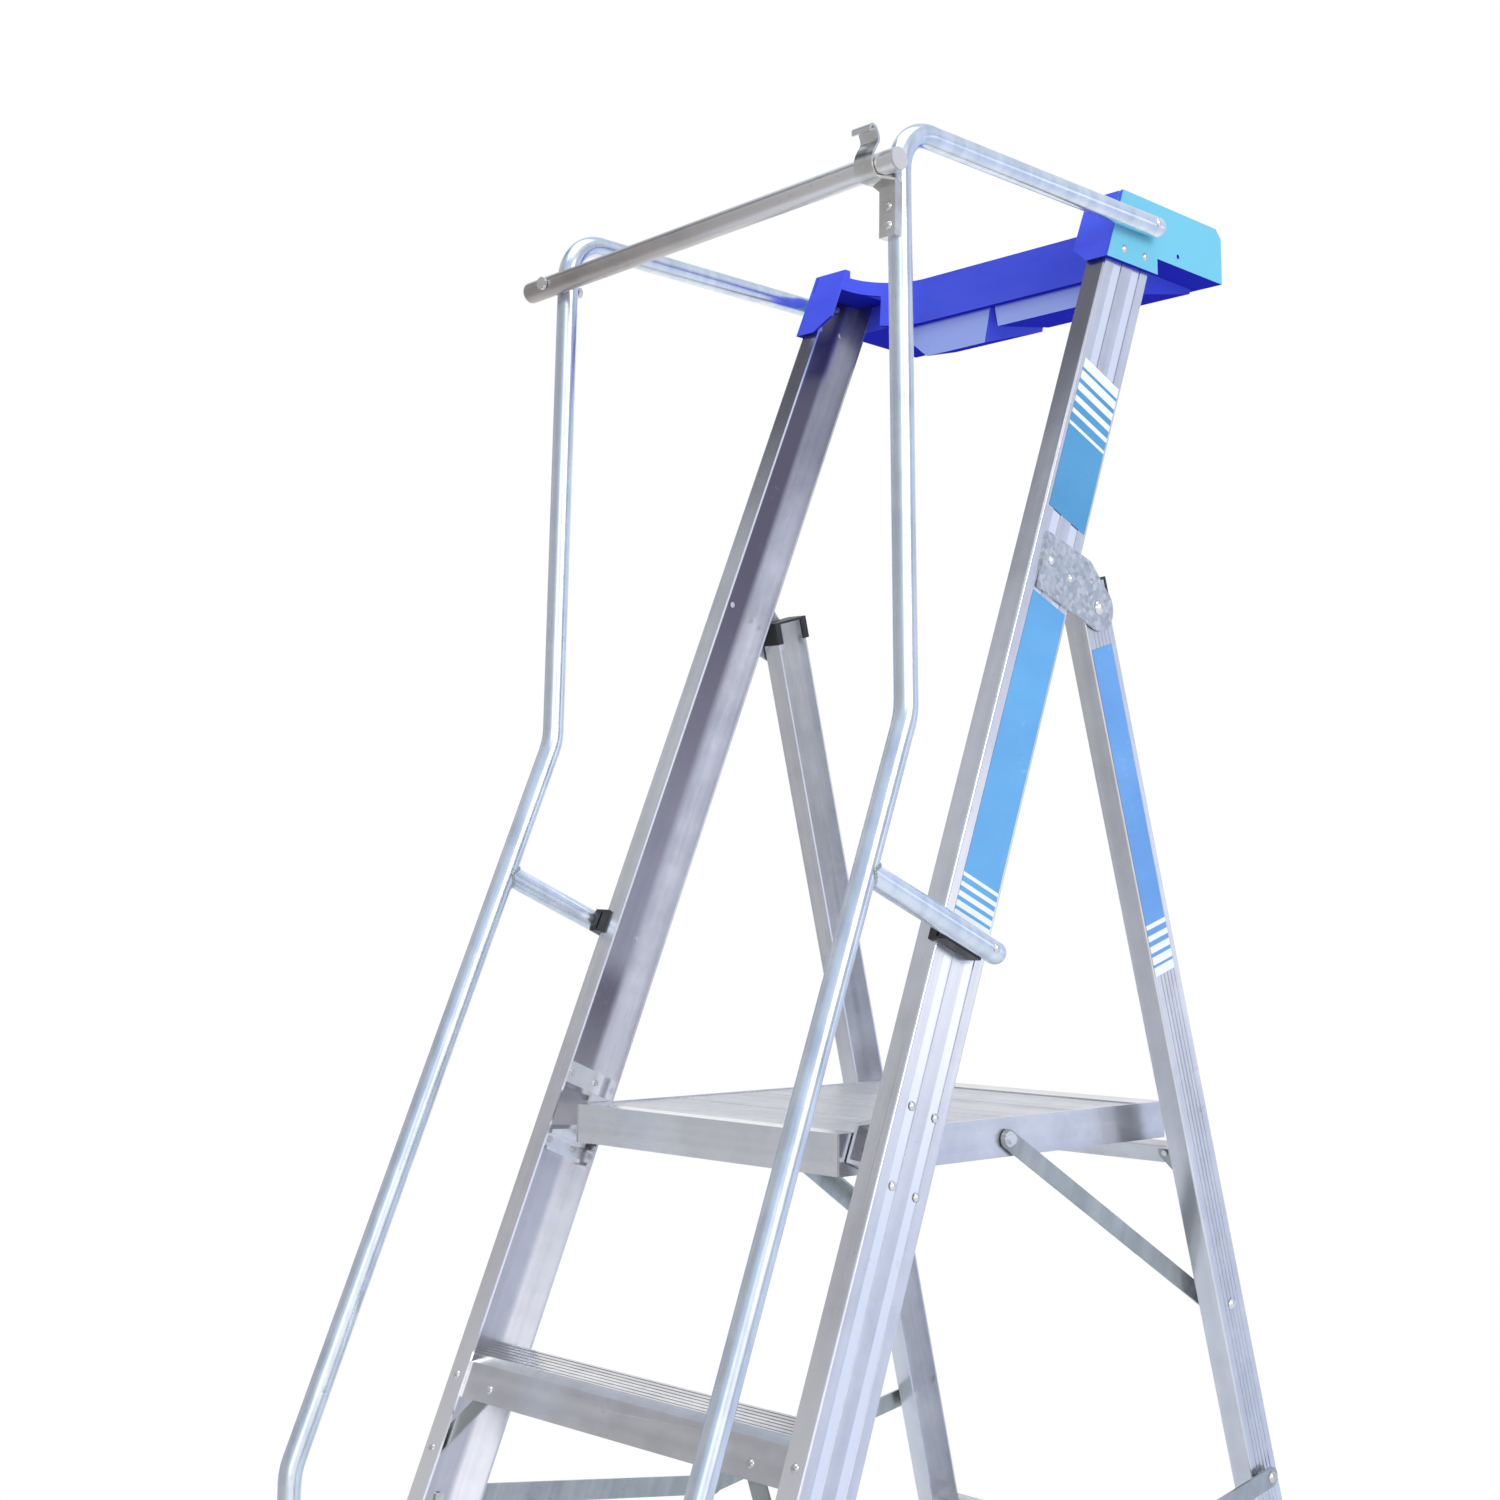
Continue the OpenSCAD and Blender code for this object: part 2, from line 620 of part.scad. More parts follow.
// Hat-shaped extruded bracket with a grooved foot; it carries the platform's front pivot
module platform_bracket(side) color(silver) on_side(side) difference() {
    at_stile(pivot_s, pivot_n - bracket_len / 2) plate_y(bracket_len) difference() {
        polygon([[web_in, 64], [web_in - bracket_flange_t, 64], [web_in - bracket_flange_t, 38],
            [bracket_reach, 26], [bracket_reach, -14], [web_in - bracket_foot_t, -22],
            [web_in - bracket_foot_t, -46], [web_in, -46]]);
        translate([web_in - bracket_foot_t - 1, -42]) square([bracket_foot_t - bracket_floor_t + 1, 15]);
    }
    intersection() {
        at_stile(pivot_s, pivot_n - bracket_len) plate_y(2 * bracket_len)
            polygon([[web_in + 1, 33], [bracket_reach, 22], [bracket_reach, -10], [web_in + 1, -18]]);
        translate([bracket_end_x + bracket_wall, -far / 2, 0]) cube(far);
    }
    translate([bracket_end_x - far, -far / 2, 0]) cube(far);
    for (p = bracket_rivets) at_stile(p[0], p[1]) rotate([0, 90, 0])
        rivet_hole(stile_wall + bracket_foot_t + 1);
    rod_x(platform_pin_d + 2 * rivet_gap, 0, base_w, pivot);
}

// Pivot pins fixed in the brackets: headed inside the hat, with a collar inside the beam
module platform_pins() color(steel) both_sides() {
    head_x = bracket_end_x + bracket_wall;
    collar_x = platform_w / 2 - beam_wall - 0.5;
    rod_x(platform_pin_d, collar_x - 3, head_x + 1, pivot);
    rod_x(platform_pin_d + 6, head_x, head_x + 5, pivot);
    rod_x(platform_pin_d + 4, collar_x - 3, collar_x, pivot);
}

// Handrail: one bent tube with domed ends
module handrail(side) color(bright) on_side(side) difference() {
    side_plane() translate([rail_out, 0, 0]) rotate([90, 0, 90]) {
        rod_path(rail_points, rail_bends, rail_d);
        translate(rail_points[0]) rotate([0, 90, 0]) dome(rail_d);
        translate(rail_points[4]) rotate([90, 0, 0]) dome(rail_d);
    }
    side_plane() translate([rail_out, 0, 0]) rotate([90, 0, 90])
        rod_path(rail_points, rail_bends, rail_d - 2 * rail_wall);
    rail_bolt_places() rotate([0, 90, 0]) rivet_hole(rail_out + rail_d);
    if (side > 0) hook_rivet_places() rivet_hole(rail_d / 2);
    if (side < 0) on_side(-1) gate_bolt_hole(rivet_gap);
}

// Standoff arm, coped to the sloping rail and closed at the stile end
module rail_arm(side) color(bright) on_side(side) difference() {
    at_stile(arm_s, rail_n) translate([rail_out, 0, 0]) rotate([-90, 0, 0]) {
        cylinder(d = rail_d, h = arm_end_n - rail_n);
        translate([0, 0, arm_end_n - rail_n]) dome(rail_d);
    }
    at_stile(arm_s, rail_n) translate([rail_out, 0, 0]) rotate([-90, 0, 0])
        cylinder(d = rail_d - 2 * rail_wall, h = arm_end_n - rail_n);
    at_stile(arm_s - rail_d, rail_n) translate([rail_out, 0, 0])
        cylinder(d = rail_d + 2 * seat_gap, h = 2 * rail_d);
    rail_bolt_places() rotate([0, 90, 0]) rivet_hole(rail_out + rail_d);
}

// Saddles that seat the arm and the rail's foot on the stile web
module rail_saddles() color(silver) both_sides() {
    half_w = 14;
    rise = rail_out - 5;
    difference() {
        at_stile(arm_s, 0) {
            translate([0, -saddle_lip, -half_w]) cube([rise, 58 + saddle_lip, 2 * half_w]);
            translate([-9, -saddle_lip, -half_w]) cube([10, saddle_lip - seat_gap, 2 * half_w]);
        }
        at_stile(arm_s, -saddle_lip - 1) {
            translate([rail_out, 0, 0]) rotate([-90, 0, 0])
                cylinder(d = rail_d + 2 * seat_gap, h = 2 * stile_depth);
            translate([1.5, 0, 3 - half_w]) cube([3, 2 * stile_depth, 2 * half_w - 6]);
        }
        rail_bolt_places() rotate([0, 90, 0]) rivet_hole(rail_out);
    }
    difference() {
        side_plane() translate([0, rail_low_y - half_w, up_side(rail_foot_h) - 22])
            cube([rise, 2 * half_w, 44]);
        side_plane() translate([rail_out, rail_low_y, 0])
            cylinder(d = rail_d + 2 * seat_gap, h = platform_h);
        rail_bolt_places() rotate([0, 90, 0]) rivet_hole(rail_out);
    }
}

module rail_bolts() color(steel) both_sides() rail_bolt_places()
    translate([rail_out + rail_d / 2, 0, 0]) rotate([0, 90, 0])
        rivet(rail_out + rail_d / 2 + stile_wall);

// Gate

module gate_bolt_hole(gap)
    translate([-rail_x, rail_up_y - far / 2, gate_z]) rotate([-90, 0, 0])
        cylinder(d = gate_bolt_d + 2 * gap, h = far);

module hook_rivet_places()
    for (z = hook_rivet_z) translate([rail_x_at(z), gate_y + hook_plate_y, z]) rotate([90, 0, 0]) children();

// Hook seen from the side: a cup under the bar, a front lip with a thumb curl, and a plate
module hook_profile() {
    r_in = gate_d / 2 + hook_play;
    r_out = r_in + hook_t;
    curl_y = -r_out - hook_curl_r + hook_t;
    difference() {
        union() {
            circle(r = r_out);
            translate([hook_plate_y, -hook_plate_h]) square([hook_plate_t, hook_plate_h - r_in / 2]);
        }
        circle(r = r_in);
        translate([-2 * r_out, 0]) square(4 * r_out);
    }
    translate([-r_out, 0]) square([hook_t, hook_lip_h]);
    translate([curl_y, hook_lip_h]) difference() {
        circle(r = hook_curl_r);
        circle(r = hook_curl_r - hook_t);
        translate([-2 * hook_curl_r, -4 * hook_curl_r]) square(4 * hook_curl_r);
    }
    translate([curl_y - hook_curl_r, hook_lip_h - hook_t]) square([hook_t, hook_t]);
}

module gate_hook() color(silver) difference() {
    intersection() {
        translate([0, gate_y, hook_z]) plate_x(hook_x + hook_half - hook_len, hook_len) hook_profile();
        translate([hook_x + hook_half, gate_y - far / 2, hook_z]) plate_y(far)
            polygon([[-hook_len, 2 * hook_lip_h], [0, 2 * hook_lip_h], [0, -hook_plate_h],
                [-2 * hook_half, -hook_plate_h], [-2 * hook_half, -hook_plate_h / 3],
                [-hook_len, -hook_plate_h / 6]]);
    }
    side_plane() translate([rail_out, rail_up_y, up_side(rail_knee_z)])
        cylinder(d = rail_d + 2 * seat_gap, h = rail_top - rail_knee_z);
    hook_rivet_places() rivet_hole(2 * hook_plate_t);
}

module hook_rivets() color(steel) hook_rivet_places()
    rivet(rail_up_y - rail_d / 2 + rail_wall + rivet_slack - gate_y - hook_plate_y);

// Pivot bolt of the gate bar through the left rail, with its nut behind
module gate_bolt() color(steel) {
    head_y = gate_y - gate_d / 2 - 0.4;
    nut_y = rail_up_y + rail_d / 2 + 0.1;
    translate([-rail_x, 0, gate_z]) rotate([-90, 0, 0]) {
        translate([0, 0, head_y - 1]) cylinder(d = gate_bolt_d, h = nut_y + 9 - head_y);
        translate([0, 0, head_y - 4]) cylinder(d = gate_bolt_d * 1.9, h = 4);
        translate([0, 0, nut_y]) cylinder(d = gate_bolt_d * 1.8, h = 6, $fn = 6);
    }
}

// The gate bar's own frame: Z runs along it from its left end
module at_gate() translate([-rail_x, gate_y, gate_z]) rotate([0, 90 - gate_tilt, 0])
    translate([0, 0, -gate_over_left]) children();

module gate_bar() color(grey) difference() {
    at_gate() difference() {
        cylinder(d = gate_d, h = gate_len);
        translate([0, 0, -1]) cylinder(d = gate_d - 2 * rail_wall, h = gate_len + 2);
    }
    gate_bolt_hole(run_gap);
}

// Plugs in the two ends of the gate bar
module gate_caps() color(silver) at_gate() for (end = [0, 1]) translate([0, 0, end * gate_len])
    mirror([0, 0, end]) {
        translate([0, 0, -2]) cylinder(d = gate_d - 1, h = 2);
        translate([0, 0, -1]) cylinder(d = gate_d - 2 * rail_wall - 2 * seat_gap, h = 11);
    }

// Tool tray

// Rounded recess in the front of the tray, grown by inset
module recess_2d(inset) {
    r = tray_recess_r + inset;
    half = tray_half - lobe_w + inset;
    back = tray_front_y + tray_recess + inset;
    ahead = 40;
    translate([-half, tray_front_y - ahead]) square([2 * half, back - r - tray_front_y + ahead]);
    translate([-half + r, tray_front_y - ahead]) square([2 * (half - r), back - tray_front_y + ahead]);
    for (x = [r - half, half - r]) translate([x, back - r]) circle(r = r);
}

module tray_plan(inset) difference() {
    translate([-tray_half + inset, tray_front_y + inset])
        square([2 * (tray_half - inset), tray_depth - 2 * inset]);
    recess_2d(inset);
}

// Well below the tray floor: sloping ends, and a bottom that rises toward the rear
module well(shape, inset, over) {
    x0 = shape[0][0] + inset;
    x1 = shape[0][1] - inset;
    deep = shape[1];
    run = deep * shape[2];
    y0 = well_front_y + inset;
    y1 = well_back_y - inset;
    translate([0, 0, tray_floor_z]) intersection() {
        translate([0, y0, 0]) plate_y(y1 - y0)
            polygon([[x0, over], [x1, over], [x1, 0], [x1 - run[1], -deep], [x0 + run[0], -deep], [x0, 0]]);
        plate_x(x0 - 1, x1 - x0 + 2)
            polygon([[well_front_y - 1, over + 1], [well_back_y + 1, over + 1],
                [well_back_y + 1, inset + 1 - deep * well_rear], [well_front_y - 1, inset + 1 - deep]]);
    }
}

module wells(inset, over) for (shape = [deep_well, side_well]) well(shape, inset, over);

// Space taken by the top of a stile, from depth n0 to n1, open toward the middle
module stile_space(n0, n1, inward)
    at_stile(stile_s(platform_h, 0), n0) translate([-inward, 0, 0])
        cube([inward + seat_gap, n1 - n0, stile_rise * 2]);

module tool_tray() color(blue) difference() {
    union() {
        translate([0, 0, tray_floor_z]) linear_extrude(tray_h) tray_plan(0);
        wells(0, 1);
        both_sides() difference() {
            translate([tray_half, tray_front_y, tray_floor_z]) plate_y(stile_depth / cos(stile_lean) + 16)
                polygon([[-lobe_w, 1], [0, 1], [0, -lug_drop], [-lobe_w * 0.55, -lug_drop], [-lobe_w, 0]]);
            intersection() {
                stile_space(stile_depth, 2 * stile_depth, lobe_w + 10);
                floor_cut(tray_floor_z);
            }
        }
    }
    // The side walls lean with the stiles
    trim_to_webs(-tray_side);
    // Basin, kept clear of the raised floor over the stiles
    difference() {
        translate([0, 0, tray_floor_z + tray_wall]) linear_extrude(tray_h) tray_plan(tray_wall);
        trim_to_webs(tray_wall - tray_side);
        both_sides() translate([tray_half - lobe_w - tray_wall, tray_front_y, tray_floor_z])
            cube([lobe_w + 2 * tray_wall, lobe_back_y - tray_front_y, lobe_floor_z - tray_floor_z]);
        both_sides() stile_space(-far / 10, tray_wall - lobe_face, lobe_w + 10);
    }
    wells(tray_wall, tray_wall + 1);
    // Lower rim round the recess, and the bevel along the rear rim
    intersection() {
        translate([0, 0, tray_top_z - rim_dip]) linear_extrude(tray_h) recess_2d(tray_wall + 1);
        translate([-far / 2, rim_dip_y, 0]) cube(far);
    }
    translate([0, tray_front_y + tray_depth, tray_top_z]) plate_x(-far / 2, far)
        polygon([[-rear_bevel, 0], [1, -rear_bevel - 1], [1, 1], [-rear_bevel, 1]]);
    rod_x(cheek_hole_d, -far / 2, far / 2, cheek_hole);
    both_sides() {
        // Pocket over the stile top, open on the inner side
        intersection() {
            stile_space(-1.5, stile_depth + 1.5, lobe_w + 10);
            translate([0, -far / 2, pocket_top_z - far]) cube(far);
        }
        // Sloping front face of the lobes
        stile_space(-far / 10, -lobe_face, lobe_w + 10);
        at_stile(stile_s(platform_h, 0), -far / 10)
            cube([tray_side + 10, far / 10 - lobe_face, stile_rise * 2]);
        for (p = tray_rivets) at_stile(p[0], p[1]) rotate([0, 90, 0]) rivet_hole(3 * tray_side);
        rail_bolt_places() rotate([0, 90, 0]) rivet_hole(3 * tray_side);
    }
}

// Feet

// Rubber boot round a channel end, as seen along the channel
module boot_block(flange, depth, reach) translate([-flange - boot_wall, -boot_wall, 0])
    cube([flange + 2 * boot_wall, depth + 2 * boot_wall, reach]);

module boot_socket(flange, depth, reach) translate([-flange - seat_gap, -seat_gap, 0])
    cube([flange + 2 * seat_gap, depth + 2 * seat_gap, reach]);

module above(z) translate([-far / 2, -far / 2, z]) cube(far);

// Grooves across the sole
module sole_grooves(y0) for (i = [1 : 4])
    translate([-far / 2, y0 + i * 18 - 3, -1]) cube([far, 6, 3]);

module front_foot(side) color(black) on_side(side) difference() {
    at_stile(-stile_depth, 0) boot_block(stile_flange, stile_depth, stile_depth + boot_h);
    floor_cut(0);
    intersection() {
        at_stile(-stile_depth, 0) boot_socket(stile_flange, stile_depth, 2 * stile_depth + boot_h);
        above(sole_t);
    }
    sole_grooves(stile_foot_y);
}

module rear_foot(side) color(black) on_side(side) difference() {
    at_leg(leg_t(0) + leg_depth, -leg_depth / 2) boot_block(leg_flange, leg_depth, leg_depth + boot_h);
    floor_cut(0);
    intersection() {
        at_leg(leg_t(0) + leg_depth, -leg_depth / 2)
            boot_socket(leg_flange, leg_depth, 2 * leg_depth + boot_h);
        above(sole_t);
    }
    sole_grooves(leg_y(0) - leg_depth * 0.75);
}

// Rear frame

module leg_profile() difference() {
    channel_2d(leg_depth, leg_flange, leg_wall);
    for (i = [-2 : 2]) translate([-0.6, leg_depth / 2 + i * 7 - 1]) square([1.6, 2]);
}

// Rivets along the leg's depth, headed on its rear face
module rear_rail_rivet_place(z) at_leg(leg_t(z), leg_depth / 2)
    translate([-flange_rivet_in, 0, 0]) rotate([-90, 0, 0]) children();

module rear_knee_rivet_place(z) at_leg(leg_t(z) + rear_knee_drop, leg_depth / 2)
    translate([-flange_rivet_in, 0, 0]) rotate([-90, 0, 0]) children();

// The rear face of a rear rail: X across, Y to the rear, Z up along the legs
module at_rear_rail(z) translate([0, rail_y(z), z]) rotate([leg_lean, 0, 0]) children();

module rear_face_rivet_place(z) at_rear_rail(z) translate([web_x(z) - turn_gap - rear_knee_in, 0, 0])
    rotate([-90, 0, 0]) children();

module rear_leg(side) color(silver) on_side(side) difference() {
    at_leg(leg_t(0) + leg_depth, -leg_depth / 2)
        linear_extrude(leg_t(0) + leg_depth + leg_over) leg_profile();
    floor_cut(sole_t);
    rod_x(hinge_pin_d + 2 * run_gap, 0, base_w, hinge);
    rod_x(strut_pin_d + 2 * rivet_gap, 0, base_w, strut_foot);
    rod_x(link_pin_d + 2 * rivet_gap, 0, base_w, link_b);
    for (z = rear_rail_z) {
        rear_rail_rivet_place(z) rivet_hole(leg_wall * 2);
        rear_knee_rivet_place(z) rivet_hole(leg_wall * 2);
    }
}

// Plastic cap on the leg's top: a lid with two cheeks hooked round the flanges
module leg_cap(side) color(black) on_side(side) {
    wall = 3;
    cheek_h = 26;
    inner = -leg_flange - wall;
    at_leg(-leg_over, -leg_depth / 2) {
        translate([inner, -wall, seat_gap]) cube([leg_flange + wall, leg_depth + 2 * wall, wall]);
        for (n = [-wall, leg_depth + seat_gap])
            translate([inner, n, -cheek_h]) cube([leg_flange + wall, wall - seat_gap, cheek_h + wall]);
        for (n = [-wall, leg_depth - 7])
            translate([inner, n, -cheek_h]) cube([wall - seat_gap, 7 + wall, cheek_h + wall]);
    }
}

// Angle rail between the legs, against the inside of their rear flanges
module rear_rail(z) color(silver) difference() {
    at_rear_rail(z) plate_x(-base_w / 2, base_w) {
        translate([-tread_wall, -rear_rail_h / 2]) square([tread_wall, rear_rail_h]);
        translate([-20, rear_rail_h / 2 - tread_wall]) square([20, tread_wall]);
    }
    trim_to_webs(turn_gap + leg_wall + seat_gap);
    both_sides() {
        rear_rail_rivet_place(z) rivet_hole(leg_wall + 2 * tread_wall);
        rear_face_rivet_place(z) rivet_hole(2 * tread_wall);
    }
}

// Knee strips below the rear rails, with a packing disc at the leg
module rear_braces() color(grey) both_sides() for (z = rear_rail_z) difference() {
    union() {
        at_rear_rail(z) translate([0, -tread_wall - strip_t - seat_gap, 0]) plate_y(strip_t)
            bar_2d([web_x(z) - turn_gap - rear_knee_in, 0],
                [web_x(z - rear_knee_drop) - turn_gap - flange_rivet_in, -rear_knee_drop], strip_w);
        at_leg(leg_t(z) + rear_knee_drop, leg_depth / 2 - leg_wall - tread_wall - strip_t / 2)
            plate_y(tread_wall + strip_t / 2 - seat_gap)
                translate([-flange_rivet_in, 0]) circle(d = strip_w * 0.7);
    }
    rear_knee_rivet_place(z) rivet_hole(leg_wall + tread_wall + 2 * strip_t);
    rear_face_rivet_place(z) rivet_hole(tread_wall + 2 * strip_t);
}

module rear_rivets() color(steel) both_sides() for (z = rear_rail_z) {
    rear_rail_rivet_place(z) rivet(leg_wall + tread_wall + rivet_slack);
    rear_knee_rivet_place(z) rivet(leg_wall + tread_wall + strip_t + rivet_slack);
    rear_face_rivet_place(z) rivet(tread_wall + strip_t + rivet_slack);
}

// Strut pivots: a bolt through the leg web and a spacer tube out to the strut
module strut_pins() color(steel) both_sides() {
    outer = web_x(strut_foot_z) - turn_gap + 0.3;
    translate([outer, strut_foot.x, strut_foot.y]) rotate([0, 90, 0])
        rivet(outer - strut_out_x + 1, strut_pin_d, strut_pin_d * 1.7);
}

module strut_spacers() color(silver) both_sides() difference() {
    rod_x(strut_pin_d + 9, strut_out_x + link_t + 1, web_x(strut_foot_z) - turn_gap - leg_wall - 0.4,
        strut_foot);
    rod_x(strut_pin_d + 2 * rivet_gap, 0, base_w, strut_foot);
}

// Platform

module platform_front_beam() color(silver) translate([0, platform_front, 0])
    plate_x(-cross_beam_half, 2 * cross_beam_half) translate([0, platform_h - platform_t])
        difference() {
            square([front_beam_d, platform_t]);
            translate([beam_wall, beam_wall]) square([front_beam_d, platform_t - 2 * beam_wall]);
        }

module platform_rear_beam() color(silver) translate([0, platform_front + platform_d - rear_beam_d, 0])
    plate_x(-cross_beam_half, 2 * cross_beam_half) translate([0, platform_h - platform_t])
        difference() {
            square([rear_beam_d, platform_t]);
            translate([-1, beam_wall]) square([rear_beam_d - beam_wall + 1, platform_t - 2 * beam_wall]);
        }

// Side beam: a web that closes the ends of the cross beams, a ledge for the planks and a bottom flange
module platform_beam(side) color(silver) on_side(side) difference() {
    translate([platform_w / 2, platform_front, platform_h - platform_t]) {
        translate([-beam_wall, 0, 0]) cube([beam_wall, platform_d, platform_t]);
        translate([-beam_in, front_beam_d, 0]) cube([beam_in - beam_wall / 2, beam_len, beam_wall]);
        translate([-ledge_in, front_beam_d, platform_t - deck_drop - plank_t - ledge_t])
            cube([ledge_in - beam_wall / 2, beam_len, ledge_t]);
    }
    rod_x(platform_pin_d + 2 * run_gap, 0, base_w, pivot);
    rod_x(strut_pin_d, 0, base_w, strut_head);
}

// Planks across the platform, ribbed on top and open below
module plank_profile() {
    ribs = floor(plank_d / rib_pitch);
    rib_start = (plank_d - (ribs - 1) * rib_pitch) / 2;
    difference() {
        square([plank_d, plank_t - rib_h]);
        translate([2.5, -1]) square([plank_d - 5, plank_t - rib_h - 2]);
    }
    for (i = [0 : ribs - 1]) translate([rib_start + i * rib_pitch - rib_w / 2, plank_t - rib_h - 0.5])
        square([rib_w, rib_h + 0.5]);
}

module deck_planks() color(bright) for (i = [0 : plank_count - 1])
    translate([0, platform_front + front_beam_d + plank_gap + i * (plank_d + plank_gap),
        platform_h - deck_drop - plank_t])
        plate_x(-plank_half, 2 * plank_half) plank_profile();

// Struts and spreaders

// The strut's own frame at its upper end: X outward, Y down along the splayed bar
module at_strut() translate([strut_x, strut_head.x, strut_head.y])
    rotate([angle_of(strut_foot - strut_head), 0, 0]) rotate([0, 0, -strut_skew]) children();

// Angle strut: flat bar with an inward flange along its upper edge, clear of the platform
module strut(side) color(grey) on_side(side) difference() {
    at_strut() {
        plate_x(0, link_t) bar_2d([0, 0], [strut_bar, 0], strut_w);
        translate([-strut_flange, strut_clear, strut_w / 2 - link_t])
            cube([strut_flange + 1, strut_bar - strut_clear - strut_w, link_t]);
    }
    at_strut() rod_x(strut_pin_d + 2 * rivet_gap, -1, link_t + 1, [0, 0]);
    rod_x(strut_pin_d + 2 * run_gap, 0, base_w, strut_foot);
}

// Bolt in the strut's upper end; this pivot is left open toward the platform
module strut_bolt(side) color(steel) on_side(side) at_strut() {
    rod_x(strut_pin_d, 0, link_t + 1, [0, 0]);
    translate([link_t + 0.1, 0, 0]) rotate([0, 90, 0]) {
        cylinder(d = strut_pin_d * 2.2, h = 1.5);
        translate([0, 0, 1.5]) cylinder(d = strut_pin_d * 1.6, h = 5, $fn = 6);
    }
}

module spreader_front(side) color(grey) on_side(side) difference() {
    plate_x(link_front_x, link_t) bar_2d(link_a, link_mid, link_w);
    rod_x(link_pin_d + 2 * run_gap, 0, base_w, link_a);
    rod_x(link_pin_d + 2 * run_gap, 0, base_w, link_mid);
}

// Rear link with the closed rivet of the middle joint, which is left open toward the front link
module spreader_rear(side) color(grey) on_side(side) {
    difference() {
        plate_x(link_rear_x, link_t) bar_2d(link_b, link_mid, link_w);
        rod_x(link_pin_d + 2 * run_gap, 0, base_w, link_b);
    }
    translate([link_rear_x + link_t, link_mid.x, link_mid.y]) rotate([0, 90, 0])
        cylinder(d1 = link_pin_d * 1.8, d2 = link_pin_d * 1.3, h = 3);
}

module spreader_front_pins() color(steel) both_sides() {
    outer = link_front_x + link_t + 0.3;
    inner = web_x(spreader_front_h) - stile_wall - 0.5;
    translate([outer, link_a.x, link_a.y]) rotate([0, 90, 0])
        rivet(outer - inner, link_pin_d, link_pin_d * 1.8);
}

module spreader_rear_pins() color(steel) both_sides() {
    outer = link_rear_x + link_t + 0.3;
    inner = web_x(spreader_rear_h) - turn_gap - leg_wall - 0.5;
    translate([outer, link_b.x, link_b.y]) rotate([0, 90, 0])
        rivet(outer - inner, link_pin_d, link_pin_d * 1.8);
}

// Spacer tubes that hold the rear links out past the front ones
module spreader_spacers() color(silver) both_sides() difference() {
    rod_x(link_pin_d + 6, web_x(spreader_rear_h) - turn_gap + 0.3, link_rear_x - 0.3, link_b);
    rod_x(link_pin_d + 2 * rivet_gap, 0, base_w, link_b);
}

stile(-1);  // stile_left
stile(1);  // stile_right
step(1);  // step_1
step(2);  // step_2
step(3);  // step_3
step(4);  // step_4
step_braces();
frame_rivets();
step_rivets();
hinge_plate(-1);  // hinge_plate_left
hinge_plate(1);  // hinge_plate_right
hinge_pins();
platform_bracket(-1);  // platform_bracket_left
platform_bracket(1);  // platform_bracket_right
platform_pins();
handrail(-1);  // handrail_left
handrail(1);  // handrail_right
rail_arm(-1);  // rail_arm_left
rail_arm(1);  // rail_arm_right
rail_saddles();
rail_bolts();
gate_hook();
hook_rivets();
gate_bolt();
tool_tray();
front_foot(-1);  // front_foot_left
front_foot(1);  // front_foot_right
spreader_front_pins();
rear_leg(-1);  // rear_leg_left
rear_leg(1);  // rear_leg_right
leg_cap(-1);  // leg_cap_left
leg_cap(1);  // leg_cap_right
rear_rail(rear_rail_z[0]);  // rear_rail_top
rear_rail(rear_rail_z[1]);  // rear_rail_middle
rear_rail(rear_rail_z[2]);  // rear_rail_bottom
rear_braces();
rear_rivets();
strut_pins();
strut_spacers();
rear_foot(-1);  // rear_foot_left
rear_foot(1);  // rear_foot_right
spreader_rear_pins();
spreader_spacers();
platform_front_beam();
platform_rear_beam();
platform_beam(-1);  // platform_beam_left
platform_beam(1);  // platform_beam_right
deck_planks();
strut(-1);  // strut_left
strut(1);  // strut_right
strut_bolt(-1);  // strut_bolt_left
strut_bolt(1);  // strut_bolt_right
spreader_front(-1);  // spreader_front_left
spreader_front(1);  // spreader_front_right
spreader_rear(-1);  // spreader_rear_left
spreader_rear(1);  // spreader_rear_right
gate_bar();
gate_caps();
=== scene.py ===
# %% [markdown]
# # A folding podium step
# The object is a pair of aluminium channel stiles with four treads, a hinged rear frame, a platform
# that folds up between the stiles, bent tube handrails with a lift-up gate bar, and a blue moulded
# tray. The solids come from the CAD model and stay as they are. This lesson gives them finishes,
# adds the thin things that CAD leaves out, and sets the light and the camera.

# %% Load the frame
import bpy
import bmesh
import json
import math
from mathutils import Matrix, Vector


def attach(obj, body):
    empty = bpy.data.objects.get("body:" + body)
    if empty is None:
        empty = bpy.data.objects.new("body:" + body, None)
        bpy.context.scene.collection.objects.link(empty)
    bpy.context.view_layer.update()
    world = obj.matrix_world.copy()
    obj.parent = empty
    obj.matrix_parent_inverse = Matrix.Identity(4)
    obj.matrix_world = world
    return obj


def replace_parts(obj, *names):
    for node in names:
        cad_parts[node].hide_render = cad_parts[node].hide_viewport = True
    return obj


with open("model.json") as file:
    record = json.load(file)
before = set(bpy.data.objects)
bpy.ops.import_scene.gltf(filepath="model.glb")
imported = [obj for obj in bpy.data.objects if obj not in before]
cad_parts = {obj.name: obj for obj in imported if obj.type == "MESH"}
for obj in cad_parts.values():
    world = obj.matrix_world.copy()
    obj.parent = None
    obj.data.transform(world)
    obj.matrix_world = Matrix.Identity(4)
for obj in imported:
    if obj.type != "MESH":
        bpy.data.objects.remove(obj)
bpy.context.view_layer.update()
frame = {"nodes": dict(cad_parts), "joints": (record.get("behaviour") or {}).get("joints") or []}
nodes = frame["nodes"]

